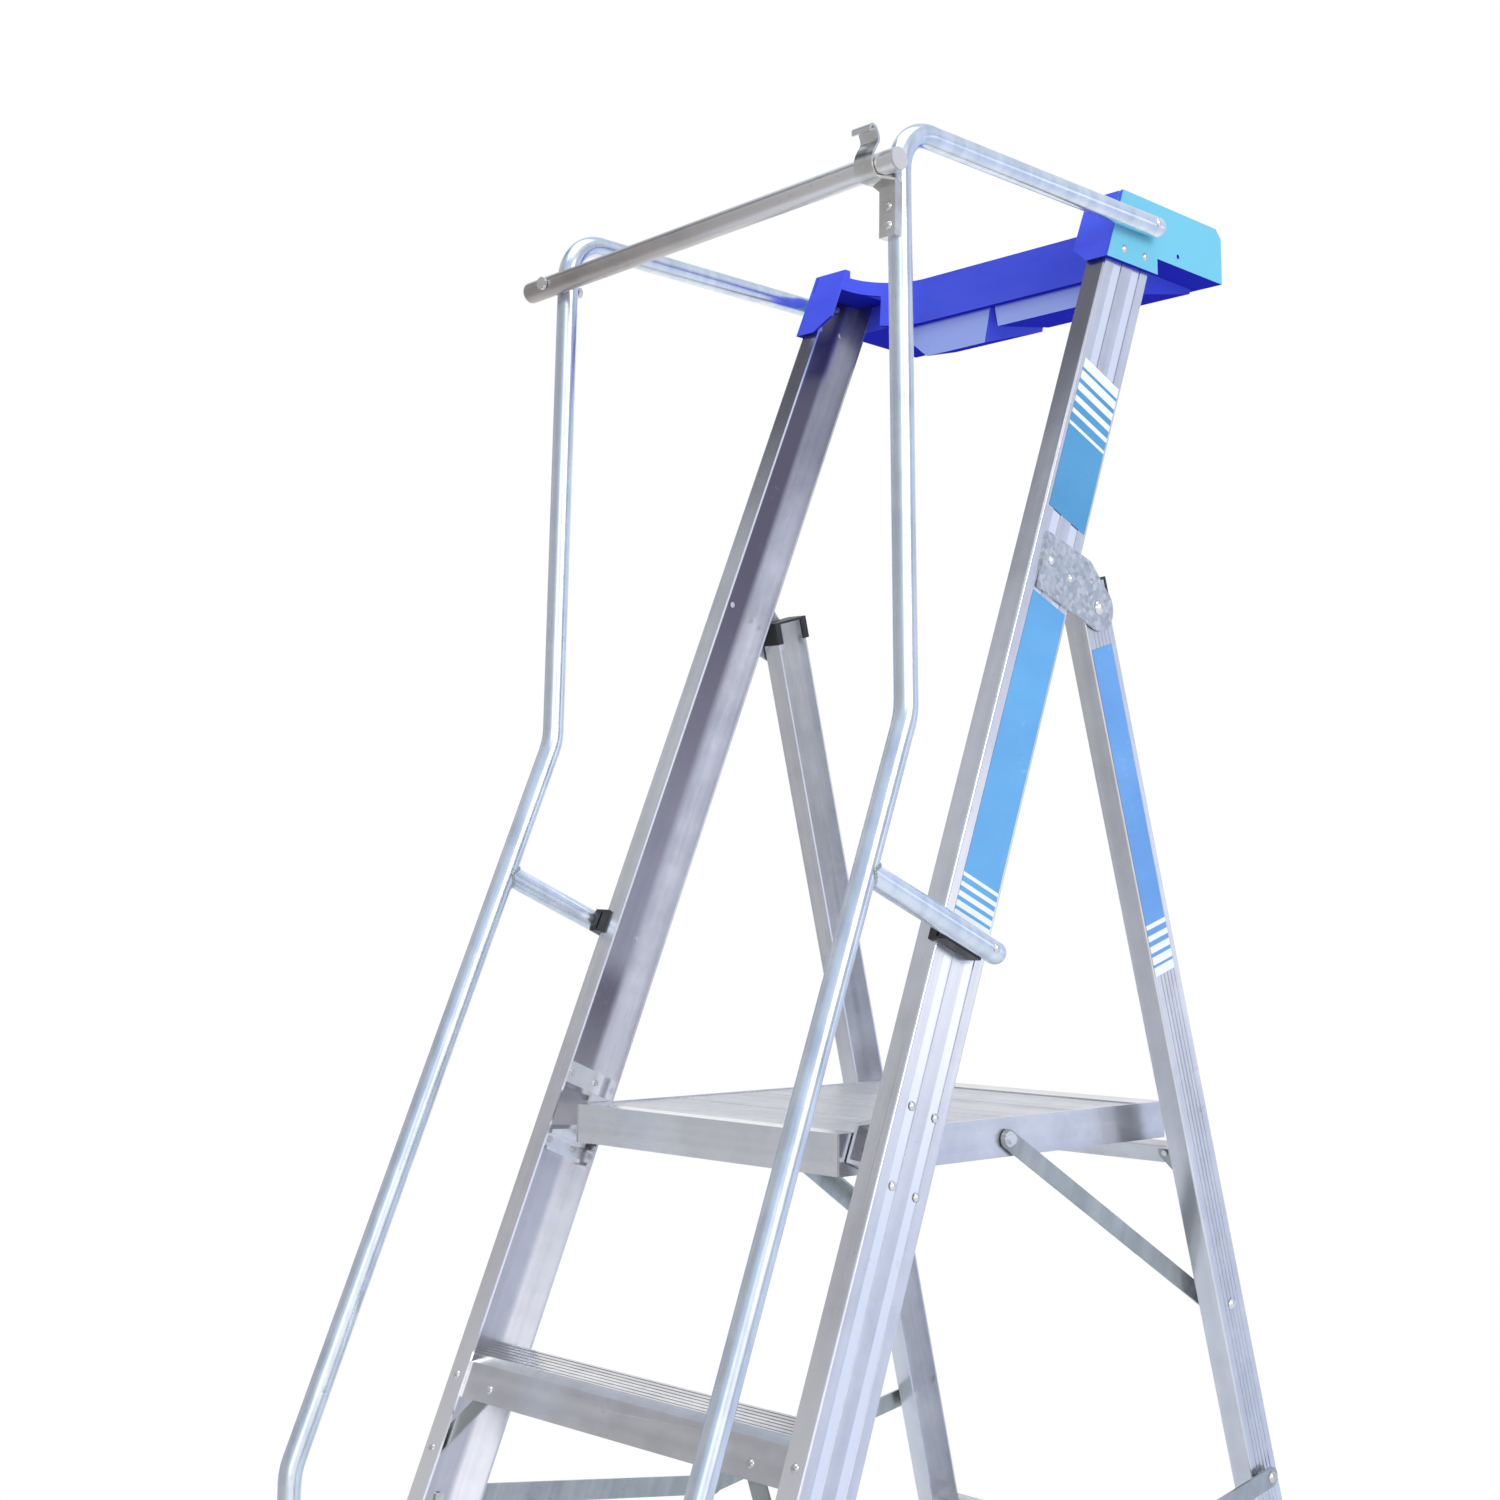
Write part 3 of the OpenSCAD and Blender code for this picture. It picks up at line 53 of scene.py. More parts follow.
# %% [markdown]
# ## The camera
# The photograph was taken from the front right, at eye height, looking slightly up. A camera can be
# aimed by eye, but its place was solved from the straight edges of the stiles and the platform, so the
# numbers are used as they are: yaw, pitch and roll build the three axes of the camera.

# %% Camera
EYE = Vector((1.664, -1.7916, 1.6316))
YAW, PITCH, ROLL = math.radians(45.28), math.radians(4.38), math.radians(0.61)
FOCAL_PX, IMAGE_PX = 2058.0, 1500.0

forward = Vector((-math.sin(YAW) * math.cos(PITCH), math.cos(YAW) * math.cos(PITCH), math.sin(PITCH)))
level = Vector((math.cos(YAW), math.sin(YAW), 0.0))
upward = level.cross(forward)
across = level * math.cos(ROLL) + upward * math.sin(ROLL)
upright = upward * math.cos(ROLL) - level * math.sin(ROLL)

lens = bpy.data.cameras.new("photo_camera")
lens.sensor_width = 36.0
lens.lens = FOCAL_PX / IMAGE_PX * lens.sensor_width
lens.clip_end = 60.0
camera = bpy.data.objects.new("photo_camera", lens)
camera.matrix_world = Matrix((
    (across.x, upright.x, -forward.x, EYE.x),
    (across.y, upright.y, -forward.y, EYE.y),
    (across.z, upright.z, -forward.z, EYE.z),
    (0.0, 0.0, 0.0, 1.0)))
bpy.context.scene.collection.objects.link(camera)
bpy.context.scene.camera = camera
print("camera at", tuple(round(c, 3) for c in EYE), "lens", round(lens.lens, 2), "mm")

# %% [markdown]
# ## Studio light
# Bare aluminium shows what stands round it more than its own colour. In the photograph the web of the
# near stile mirrors a bright window on the right, the handrails mirror bright boxes ahead of them and on
# the right, and the inside of the far stile mirrors something darker. Cards and lamps could stand there as
# objects, but a sky does the same without any: a ramp from dim to white, with soft patches laid over it
# in order. Each patch has a direction, the cosines at which it starts and is full, and its light. The
# camera itself sees plain white, as the photograph's backdrop is. A Mix node has sockets for numbers,
# vectors and colours under the same names, so its colour sockets are picked by their places.

# %% World
scene = bpy.context.scene
scene.view_settings.view_transform = "Standard"

BRIGHT_SIDE = (0.45, 0.85, 0.0)
SKY_STOPS = (
    (0.10, (0.48, 0.48, 0.50)), (0.44, (1.0, 1.0, 1.0)),
    (0.82, (1.0, 1.0, 1.0)), (0.95, (0.66, 0.74, 0.95)))
SKY_PATCHES = (
    ("overhead", (0.0, 0.0, 1.0), (0.40, 0.80), (0.62, 0.70, 0.80)),
    ("dark card", (0.908, 0.330, 0.259), (0.88, 0.95), (0.50, 0.50, 0.55)),
    ("dim corner", (-0.653, -0.238, 0.719), (0.970, 0.9945), (0.06, 0.05, 0.05)),
    ("front shade", (0.45, -0.72, 0.53), (0.79, 0.94), (0.60, 0.68, 0.84)),
    ("left card", (-0.98, 0.15, 0.05), (0.86, 0.96), (0.45, 0.45, 0.52)),
    ("front box", (0.68, -0.71, 0.16), (0.94, 0.985), (1.62, 1.64, 1.68)),
    ("right box", (0.98, 0.05, 0.17), (0.951, 0.99), (1.25, 1.27, 1.32)),
    ("window", (0.632, 0.775, 0.016), (0.9935, 0.9995), (1.52, 1.54, 1.58)))
MIX_UNDER, MIX_OVER, MIX_RESULT = 6, 7, 2


def sky_dot(tree, coord, direction):
    dot = tree.nodes.new("ShaderNodeVectorMath")
    dot.operation = "DOT_PRODUCT"
    dot.inputs[1].default_value = direction
    tree.links.new(coord.outputs["Generated"], dot.inputs[0])
    return dot.outputs["Value"]


def sky_mix(tree, mask, under, over):
    mix = tree.nodes.new("ShaderNodeMix")
    mix.data_type = "RGBA"
    tree.links.new(mask, mix.inputs["Factor"])
    tree.links.new(under, mix.inputs[MIX_UNDER])
    mix.inputs[MIX_OVER].default_value = over
    return mix.outputs[MIX_RESULT]


def sky_patch(tree, coord, under, direction, edge, colour):
    soft = tree.nodes.new("ShaderNodeMapRange")
    soft.interpolation_type = "SMOOTHSTEP"
    soft.inputs["From Min"].default_value, soft.inputs["From Max"].default_value = edge
    tree.links.new(sky_dot(tree, coord, direction), soft.inputs["Value"])
    return sky_mix(tree, soft.outputs["Result"], under, (*colour, 1.0))


def studio_sky():
    world = bpy.data.worlds.new("studio_sky")
    world.use_nodes = True
    tree = world.node_tree
    tree.nodes.clear()
    coord = tree.nodes.new("ShaderNodeTexCoord")
    spread = tree.nodes.new("ShaderNodeMapRange")
    spread.inputs["From Min"].default_value = -1.0
    ramp = tree.nodes.new("ShaderNodeValToRGB")
    for stop in SKY_STOPS[2:]:
        ramp.color_ramp.elements.new(stop[0])
    for element, (place, colour) in zip(ramp.color_ramp.elements, SKY_STOPS):
        element.position = place
        element.color = (*colour, 1.0)
    tree.links.new(sky_dot(tree, coord, BRIGHT_SIDE), spread.inputs["Value"])
    tree.links.new(spread.outputs["Result"], ramp.inputs["Fac"])
    sky = ramp.outputs["Color"]
    for _, direction, edge, colour in SKY_PATCHES:
        sky = sky_patch(tree, coord, sky, direction, edge, colour)
    seen = tree.nodes.new("ShaderNodeLightPath")
    sky = sky_mix(tree, seen.outputs["Is Camera Ray"], sky, (1.0, 1.0, 1.0, 1.0))
    back = tree.nodes.new("ShaderNodeBackground")
    out = tree.nodes.new("ShaderNodeOutputWorld")
    tree.links.new(sky, back.inputs["Color"])
    tree.links.new(back.outputs["Background"], out.inputs["Surface"])
    scene.world = world
    return world


print("sky", studio_sky().name, "with patches", [patch[0] for patch in SKY_PATCHES])

# %% [markdown]
# Two large soft boxes, one beside and one above, put the rolling highlights on the tubes and the sheen on
# the tray. Their edges are wide, so the shadows stay as soft as in the photograph.

# %% Soft boxes
def soft_box(name, place, aim, size, power):
    data = bpy.data.lights.new(name, "AREA")
    data.shape = "RECTANGLE"
    data.size, data.size_y = size
    data.energy = power
    lamp = bpy.data.objects.new(name, data)
    lamp.location = place
    lamp.rotation_euler = (Vector(aim) - Vector(place)).to_track_quat("-Z", "Y").to_euler()
    scene.collection.objects.link(lamp)
    return lamp


soft_box("side_soft_box", place=(3.4, -0.4, 3.2), aim=(0.0, 0.0, 1.6), size=(1.4, 1.8), power=34.0)
soft_box("top_soft_box", place=(0.3, -0.6, 5.0), aim=(0.0, 0.0, 1.2), size=(2.6, 2.6), power=30.0)

# %% [markdown]
# ## The floor
# The step stands on a plain pale studio sweep. The horizon of the photograph is lost in white, so the
# floor is a disc just wide enough for the feet and their shadows, with a faint mottle so that it isn't
# one flat colour, and white studio all round it.

# %% Floor
FLOOR_RADIUS, FLOOR_DROP = 2.6, 0.0005


def floor_disc(radius, rings, spokes):
    mesh = bpy.data.meshes.new("studio_floor")
    bm = bmesh.new()
    bmesh.ops.create_circle(bm, cap_ends=True, cap_tris=True, radius=radius, segments=spokes)
    bmesh.ops.subdivide_edges(bm, edges=bm.edges[:], cuts=rings, use_grid_fill=True)
    bm.to_mesh(mesh)
    bm.free()
    obj = bpy.data.objects.new("studio_floor", mesh)
    obj.location.z = -FLOOR_DROP
    scene.collection.objects.link(obj)
    return obj


floor = floor_disc(FLOOR_RADIUS, rings=3, spokes=96)
print("floor faces", len(floor.data.polygons))

# %% [markdown]
# ## Shared surface effects
# Several finishes here show the same thing: lines drawn along an extrusion, faint handling marks, dust
# that lies on top, and the fine skin of moulded plastic. Each effect is a node group with named inputs,
# built once and placed in every material that needs it with its own values.

# %% Node group helper
def effect_group(name, inputs, outputs):
    tree = bpy.data.node_groups.new(name, "ShaderNodeTree")
    for label, kind, value in inputs:
        socket = tree.interface.new_socket(label, in_out="INPUT", socket_type=kind)
        if value is not None:
            socket.default_value = value
    for label, kind in outputs:
        tree.interface.new_socket(label, in_out="OUTPUT", socket_type=kind)
    group_in = tree.nodes.new("NodeGroupInput")
    group_out = tree.nodes.new("NodeGroupOutput")
    return tree, group_in, group_out


def math_node(tree, operation, a, b=None):
    node = tree.nodes.new("ShaderNodeMath")
    node.operation = operation
    for socket, value in zip(node.inputs, (a, b)):
        if isinstance(value, (int, float)):
            socket.default_value = value
        elif value is not None:
            tree.links.new(value, socket)
    return node.outputs["Value"]


def noise_node(tree, vector, scale, detail, rough=0.5):
    node = tree.nodes.new("ShaderNodeTexNoise")
    node.inputs["Detail"].default_value = detail
    node.inputs["Roughness"].default_value = rough
    if isinstance(scale, (int, float)):
        node.inputs["Scale"].default_value = scale
    else:
        tree.links.new(scale, node.inputs["Scale"])
    tree.links.new(vector, node.inputs["Vector"])
    return node.outputs["Fac"]


def stretch(tree, vector, factors):
    node = tree.nodes.new("ShaderNodeVectorMath")
    node.operation = "MULTIPLY"
    node.inputs[1].default_value = factors
    tree.links.new(vector, node.inputs[0])
    return node.outputs["Vector"]


def between(tree, value, low, high):
    node = tree.nodes.new("ShaderNodeMapRange")
    node.interpolation_type = "SMOOTHSTEP"
    node.inputs["From Min"].default_value = low
    node.inputs["From Max"].default_value = high
    tree.links.new(value, node.inputs["Value"])
    return node.outputs["Result"]


print("helpers ready")

# %% [markdown]
# ### Drawn lines
# An extrusion leaves the die with fine lines along its length. They could be a bump map painted on UVs,
# but the CAD meshes have none, so a noise is squeezed across the length and pulled out along it. The
# group expects its vector turned so that Z runs along the extrusion.

# %% Group: drawn lines
def make_drawn_lines():
    tree, g_in, g_out = effect_group(
        "drawn_lines",
        [("Vector", "NodeSocketVector", None), ("Scale", "NodeSocketFloat", 420.0)],
        [("Fine", "NodeSocketFloat"), ("Bands", "NodeSocketFloat")])
    pulled = stretch(tree, g_in.outputs["Vector"], (1.0, 1.0, 0.012))
    fine = noise_node(tree, pulled, g_in.outputs["Scale"], 3.0, 0.6)
    wide = noise_node(tree, pulled, math_node(tree, "MULTIPLY", g_in.outputs["Scale"], 0.12), 2.0)
    tree.links.new(fine, g_out.inputs["Fine"])
    tree.links.new(wide, g_out.inputs["Bands"])
    return tree


drawn_lines = make_drawn_lines()
print(drawn_lines.name, [s.name for s in drawn_lines.interface.items_tree])

# %% [markdown]
# ### Handling marks
# Site equipment gets rubbed and knocked. Two noises multiplied give patches in which short scratches
# gather, with clean metal between them.

# %% Group: handling marks
def make_handling_marks():
    tree, g_in, g_out = effect_group(
        "handling_marks",
        [("Vector", "NodeSocketVector", None), ("Amount", "NodeSocketFloat", 0.5)],
        [("Scratches", "NodeSocketFloat"), ("Smudge", "NodeSocketFloat")])
    patches = between(tree, noise_node(tree, g_in.outputs["Vector"], 7.0, 3.0), 0.48, 0.72)
    slanted = stretch(tree, g_in.outputs["Vector"], (1.0, 0.22, 0.5))
    hairs = between(tree, noise_node(tree, slanted, 310.0, 4.0, 0.7), 0.60, 0.68)
    marks = math_node(tree, "MULTIPLY", patches, hairs)
    tree.links.new(math_node(tree, "MULTIPLY", marks, g_in.outputs["Amount"]), g_out.inputs["Scratches"])
    smear = noise_node(tree, g_in.outputs["Vector"], 16.0, 5.0, 0.62)
    tree.links.new(smear, g_out.inputs["Smudge"])
    return tree


handling_marks = make_handling_marks()
print(handling_marks.name, "ready")

# %% [markdown]
# ### Settled dust
# Dust lies where a face looks up. The group takes the surface normal from outside, keeps its upward
# part and breaks it up with a noise.

# %% Group: settled dust
def make_settled_dust():
    tree, g_in, g_out = effect_group(
        "settled_dust",
        [("Vector", "NodeSocketVector", None), ("Normal", "NodeSocketVector", None),
         ("Amount", "NodeSocketFloat", 0.3)],
        [("Dust", "NodeSocketFloat")])
    split = tree.nodes.new("ShaderNodeSeparateXYZ")
    tree.links.new(g_in.outputs["Normal"], split.inputs["Vector"])
    facing = between(tree, split.outputs["Z"], 0.55, 1.0)
    grain = between(tree, noise_node(tree, g_in.outputs["Vector"], 45.0, 6.0, 0.65), 0.40, 0.70)
    lying = math_node(tree, "MULTIPLY", facing, grain)
    tree.links.new(math_node(tree, "MULTIPLY", lying, g_in.outputs["Amount"]), g_out.inputs["Dust"])
    return tree


settled_dust = make_settled_dust()
print(settled_dust.name, "ready")

# %% [markdown]
# ### Moulded skin
# Injection moulding copies the spark-eroded skin of its tool: a fine even pebble, with broad soft
# changes of shade where the plastic flowed.

# %% Group: moulded skin
def make_moulded_skin():
    tree, g_in, g_out = effect_group(
        "moulded_skin",
        [("Vector", "NodeSocketVector", None), ("Scale", "NodeSocketFloat", 900.0)],
        [("Pebble", "NodeSocketFloat"), ("Flow", "NodeSocketFloat")])
    cells = tree.nodes.new("ShaderNodeTexVoronoi")
    cells.feature = "SMOOTH_F1"
    tree.links.new(g_in.outputs["Vector"], cells.inputs["Vector"])
    tree.links.new(g_in.outputs["Scale"], cells.inputs["Scale"])
    tree.links.new(cells.outputs["Distance"], g_out.inputs["Pebble"])
    flow = noise_node(tree, stretch(tree, g_in.outputs["Vector"], (0.6, 1.0, 2.0)), 6.0, 4.0, 0.55)
    tree.links.new(flow, g_out.inputs["Flow"])
    return tree


moulded_skin = make_moulded_skin()
print(moulded_skin.name, "ready")

# %% [markdown]
# ## Material helpers
# Every finish starts the same way: a Principled shader, the object's own coordinates turned along the
# piece, and then the groups. The helpers keep each finish short enough to read at once.

# %% Material helpers
class Finish:
    """One material: its tree, its shader and its turned coordinates."""

    def __init__(self, name, turn=(0.0, 0.0, 0.0)):
        self.material = bpy.data.materials.new(name)
        self.material.use_nodes = True
        self.tree = self.material.node_tree
        self.tree.nodes.clear()
        self.shader = self.tree.nodes.new("ShaderNodeBsdfPrincipled")
        out = self.tree.nodes.new("ShaderNodeOutputMaterial")
        self.tree.links.new(self.shader.outputs["BSDF"], out.inputs["Surface"])
        coord = self.tree.nodes.new("ShaderNodeTexCoord")
        mapping = self.tree.nodes.new("ShaderNodeMapping")
        mapping.inputs["Rotation"].default_value = turn
        self.tree.links.new(coord.outputs["Object"], mapping.inputs["Vector"])
        self.vector = mapping.outputs["Vector"]

    def group(self, tree, **values):
        node = self.tree.nodes.new("ShaderNodeGroup")
        node.node_tree = tree
        self.tree.links.new(self.vector, node.inputs["Vector"])
        for label, value in values.items():
            node.inputs[label].default_value = value
        return node

    def dust(self, amount):
        node = self.group(settled_dust, Amount=amount)
        face = self.tree.nodes.new("ShaderNodeNewGeometry")
        self.tree.links.new(face.outputs["Normal"], node.inputs["Normal"])
        return node.outputs["Dust"]

    def ramp(self, value, *stops):
        node = self.tree.nodes.new("ShaderNodeValToRGB")
        points = node.color_ramp.elements
        while len(points) < len(stops):
            points.new(0.5)
        for point, (place, colour) in zip(points, stops):
            point.position = place
            point.color = (*colour, 1.0)
        self.tree.links.new(value, node.inputs["Fac"])
        return node.outputs["Color"]

    def place(self, axis):
        split = self.tree.nodes.new("ShaderNodeSeparateXYZ")
        self.tree.links.new(self.vector, split.inputs["Vector"])
        return split.outputs[axis]

    def facing(self, axis):
        face = self.tree.nodes.new("ShaderNodeNewGeometry")
        split = self.tree.nodes.new("ShaderNodeSeparateXYZ")
        self.tree.links.new(face.outputs["Normal"], split.inputs["Vector"])
        return split.outputs[axis]

    def mix(self, mask, under, over):
        node = self.tree.nodes.new("ShaderNodeMix")
        node.data_type = "RGBA"
        self.tree.links.new(mask, node.inputs["Factor"])
        for socket, value in ((node.inputs[MIX_UNDER], under), (node.inputs[MIX_OVER], over)):
            if isinstance(value, tuple):
                socket.default_value = (*value, 1.0)
            else:
                self.tree.links.new(value, socket)
        return node.outputs[MIX_RESULT]

    def span(self, value, low, high):
        node = self.tree.nodes.new("ShaderNodeMapRange")
        node.inputs["To Min"].default_value = low
        node.inputs["To Max"].default_value = high
        self.tree.links.new(value, node.inputs["Value"])
        return node.outputs["Result"]

    def between(self, value, low, high):
        return between(self.tree, value, low, high)

    def plus(self, a, b):
        return math_node(self.tree, "ADD", a, b)

    def minus(self, a, b):
        return math_node(self.tree, "SUBTRACT", a, b)

    def times(self, a, b):
        return math_node(self.tree, "MULTIPLY", a, b)

    def paint(self, colour, roughness, height=None, depth=0.0002, strength=0.5):
        self.tree.links.new(colour, self.shader.inputs["Base Color"])
        self.tree.links.new(roughness, self.shader.inputs["Roughness"])
        if height is not None:
            bump = self.tree.nodes.new("ShaderNodeBump")
            bump.inputs["Strength"].default_value = strength
            bump.inputs["Distance"].default_value = depth
            self.tree.links.new(height, bump.inputs["Height"])
            self.tree.links.new(bump.outputs["Normal"], self.shader.inputs["Normal"])
        return self.material


def wear(finish, *names):
    for name in names:
        slots = nodes[name].data.materials
        slots.clear()
        slots.append(finish)


print("material helpers ready")

# %% [markdown]
# ## Mill aluminium
# The stiles, treads, legs, rails, beams and brackets are extrusions as they leave the mill: grey-white
# metal with lines along it, a little cloudy, with dull grey handling marks. One recipe serves them all, so
# it is a function: the direction of the lines, the two greys, the gloss and the dust are its values.

# %% Recipe: mill aluminium
ALONG_X = (0.0, math.radians(90.0), 0.0)
ALONG_Y = (math.radians(90.0), 0.0, 0.0)


def mill_aluminium(name, turn, light, dark, rough=(0.20, 0.34), dust=0.25, zones=()):
    f = Finish(name, turn)
    lines = f.group(drawn_lines, Scale=420.0)
    marks = f.group(handling_marks, Amount=0.7)
    cloud = f.times(f.plus(lines.outputs["Bands"], marks.outputs["Smudge"]), 0.5)
    metal = f.ramp(cloud, (0.36, dark), (0.62, light))
    for zone, shade in zones:
        metal = f.mix(zone(f), metal, shade)
    rubbed = f.mix(marks.outputs["Scratches"], metal, tuple(c * 0.72 for c in dark))
    colour = f.mix(f.dust(dust), rubbed, (0.50, 0.49, 0.47))
    roughness = f.span(f.times(marks.outputs["Smudge"], lines.outputs["Fine"]), *rough)
    f.shader.inputs["Metallic"].default_value = 0.92
    return f.paint(colour, roughness, lines.outputs["Fine"], 0.00006, 0.45)


print("recipe ready: mill aluminium")

# %% [markdown]
# A stile isn't painted one grey all over. The front half of its inner web carries painted shade and a
# painted dark reflection, more so high up, and a painted shadow where the platform stands over it. The two
# flutes outside and the edge of the front flange carry a painted highlight, the front flange is painted
# lighter below the platform, and below the tray it carries painted shade. These could be painted by hand,
# but a mask worked out from where a face lies and which way it looks needs no picture. In the stile's
# turned coordinates, Y runs back across it and Z runs along it. Where its foot stands follows from the rear
# hinge, whose place the frame gives, and from how far that lies behind the stile's front.

# %% Zones of a stile
STILE_LEAN, LEG_LEAN = math.radians(22.2), math.radians(16.7)
HINGE_BEHIND = 0.131
_, HINGE_Y, HINGE_Z = next(joint["pos_m"] for joint in frame["joints"] if joint["name"] == "rear_fold")
STILE_FOOT_Y = HINGE_Y - HINGE_Z * math.tan(STILE_LEAN) - HINGE_BEHIND / math.cos(STILE_LEAN)
STILE_FRONT = STILE_FOOT_Y * math.cos(STILE_LEAN)
STILE_FLUTES, FLUTE_BLEND = ((0.01657, 0.03157), (0.05143, 0.06643)), 0.002
# Where the painted shade on the inner web and the painted shadow under the platform lie.
INNER_SHADE_FROM, INNER_SHADE_TO, INNER_SHADE_HIGH = (0.004, 0.028), (0.064, 0.050), (1.1, 2.0)
PLATFORM_SHADOW_FROM, PLATFORM_SHADOW_TO = (1.16, 1.36), (1.42, 1.37)
INNER_SHADE_SHARE, PLATFORM_SHADOW_SHARE = (0.30, 1.0), (0.0, 0.45)
# Where the painted highlight on the flange edge, the painted lighter lower flange and the painted shade
# below the tray lie.
TIP_DEPTH, LIGHTER_BELOW, BROW_ABOVE = (0.005, 0.003), (1.15, 0.75), (1.98, 2.22)


def stile_depth(f):
    return f.minus(f.place("Y"), STILE_FRONT)


def looking_out(f, low, high):
    """How far a face looks away from the step's middle; negative limits find those that look inward."""
    return f.between(f.times(f.facing("X"), f.place("X")), low, high)


def looking_ahead(f):
    return f.between(f.facing("Y"), -0.5, -0.8)


def band(f, value, rise, fall):
    return f.times(f.between(value, *rise), f.between(value, *fall))


# Painted shade and a painted dark reflection on the front half of the inner web, stronger high up, with a
# painted shadow under the platform.
def inner_painted_shade(f):
    web = f.times(looking_out(f, -0.10, -0.20), band(f, stile_depth(f), INNER_SHADE_FROM, INNER_SHADE_TO))
    high = f.span(f.between(f.place("Z"), *INNER_SHADE_HIGH), *INNER_SHADE_SHARE)
    platform_shadow = f.span(band(f, f.place("Z"), PLATFORM_SHADOW_FROM, PLATFORM_SHADOW_TO), *PLATFORM_SHADOW_SHARE)
    return f.times(web, f.plus(high, platform_shadow))


# Painted highlight along the edge of the front flange.
def tip_painted_highlight(f):
    return f.times(looking_out(f, -0.10, -0.20), f.between(stile_depth(f), *TIP_DEPTH))


# Painted highlight: the two outer flutes are painted brighter.
def flute_painted_highlight(f):
    depth = stile_depth(f)
    front, rear = [band(f, depth, (a, a + FLUTE_BLEND), (b, b - FLUTE_BLEND)) for a, b in STILE_FLUTES]
    return f.times(f.plus(front, rear), looking_out(f, 0.10, 0.20))


# The front flange is painted lighter below the platform.
def lighter_below_zone(f):
    return f.times(looking_ahead(f), f.between(f.place("Z"), *LIGHTER_BELOW))


# Painted shade on the front flange below the tray.
def brow_painted_shade(f):
    return f.times(looking_ahead(f), f.between(f.place("Z"), *BROW_ABOVE))


# Colours of the painted shade, the painted highlights and the painted lighter flange, zone by zone.
STILE_ZONES = ((inner_painted_shade, (0.17, 0.15, 0.195)), (flute_painted_highlight, (0.95, 0.95, 0.98)),
               (tip_painted_highlight, (1.0, 1.0, 1.0)), (brow_painted_shade, (0.36, 0.35, 0.40)),
               (lighter_below_zone, (0.98, 0.98, 1.0)))
print("stile zones", [zone.__name__ for zone, _ in STILE_ZONES])

# %% [markdown]
# Now the recipe serves each family of extrusions: its lines run along the piece, and its two greys are as
# light or as dark as the photograph shows them.

# %% Finish: mill aluminium
ALONG_STILE, ALONG_LEG = (STILE_LEAN, 0.0, 0.0), (-LEG_LEAN, 0.0, 0.0)
stile_metal = mill_aluminium("stile_aluminium", ALONG_STILE, (0.80, 0.80, 0.83), (0.64, 0.64, 0.68),
                             zones=STILE_ZONES)
bracket_metal = mill_aluminium("bracket_aluminium", ALONG_STILE, (0.92, 0.93, 0.95), (0.78, 0.79, 0.82))
leg_metal = mill_aluminium("leg_aluminium", ALONG_LEG, (0.78, 0.79, 0.82), (0.62, 0.63, 0.67))
tread_metal = mill_aluminium("tread_aluminium", ALONG_X, (0.78, 0.78, 0.80), (0.60, 0.60, 0.63), dust=0.45)
front_metal = mill_aluminium("front_aluminium", ALONG_X, (0.93, 0.95, 0.98), (0.80, 0.82, 0.86))
beam_metal = mill_aluminium("beam_aluminium", ALONG_Y, (0.76, 0.77, 0.80), (0.58, 0.59, 0.63))
strip_metal = mill_aluminium("strip_aluminium", ALONG_STILE, (0.50, 0.53, 0.53), (0.36, 0.39, 0.39),
                             rough=(0.32, 0.46))
wear(stile_metal, "stile_left", "stile_right")
wear(bracket_metal, "platform_bracket_left", "platform_bracket_right", "gate_hook")
wear(leg_metal, "rear_leg_left", "rear_leg_right", "strut_spacers", "spreader_spacers")
wear(tread_metal, "step_1", "step_2", "step_3", "step_4", "rear_rail_top", "rear_rail_middle",
     "rear_rail_bottom", "platform_rear_beam")
wear(front_metal, "platform_front_beam")
wear(beam_metal, "platform_beam_left", "platform_beam_right")
wear(strip_metal, "step_braces", "rear_braces", "strut_left", "strut_right", "spreader_front_left",
     "spreader_front_right", "spreader_rear_left", "spreader_rear_right")
print("mill finishes", [m.name for m in bpy.data.materials if m.name.endswith("_aluminium")])

# %% [markdown]
# ## Bright tube and planks
# The handrails are drawn tube with a cleaner, satin skin, and the deck planks are bright too. The blue tint
# of the rails' greys is a painted reflection of bluish surroundings. The gate bar is the same tube left
# dull, painted browner and darker as a painted reflection of brownish surroundings, and painted lighter
# toward one end.

# %% Finish: tubes
def satin_tube(name, light, dark, rough, turn=(0.0, 0.0, 0.0), zones=()):
    f = Finish(name, turn)
    lines = f.group(drawn_lines, Scale=520.0)
    marks = f.group(handling_marks, Amount=0.55)
    cloud = f.times(lines.outputs["Bands"], marks.outputs["Smudge"])
    metal = f.ramp(cloud, (0.14, dark), (0.34, light))
    for zone, shade in zones:
        metal = f.mix(zone(f), metal, shade)
    colour = f.mix(marks.outputs["Scratches"], metal, tuple(c * 0.7 for c in dark))
    roughness = f.span(marks.outputs["Smudge"], *rough)
    f.shader.inputs["Metallic"].default_value = 0.95
    return f.paint(colour, roughness, lines.outputs["Fine"], 0.00004, 0.35)


# Where the gate bar's painted lighter end starts and is full.
END_LIGHTER_FADE = (0.20, -0.25)


def end_lighter_zone(f):
    """The bar's Z is turned along it, and falls toward the end that is painted lighter."""
    return f.between(f.place("Z"), *END_LIGHTER_FADE)


# The blue tint in the rail's greys is a painted reflection of bluish surroundings.
rail_metal = satin_tube("rail_satin", (0.79, 0.85, 0.92), (0.63, 0.70, 0.79), (0.16, 0.28))
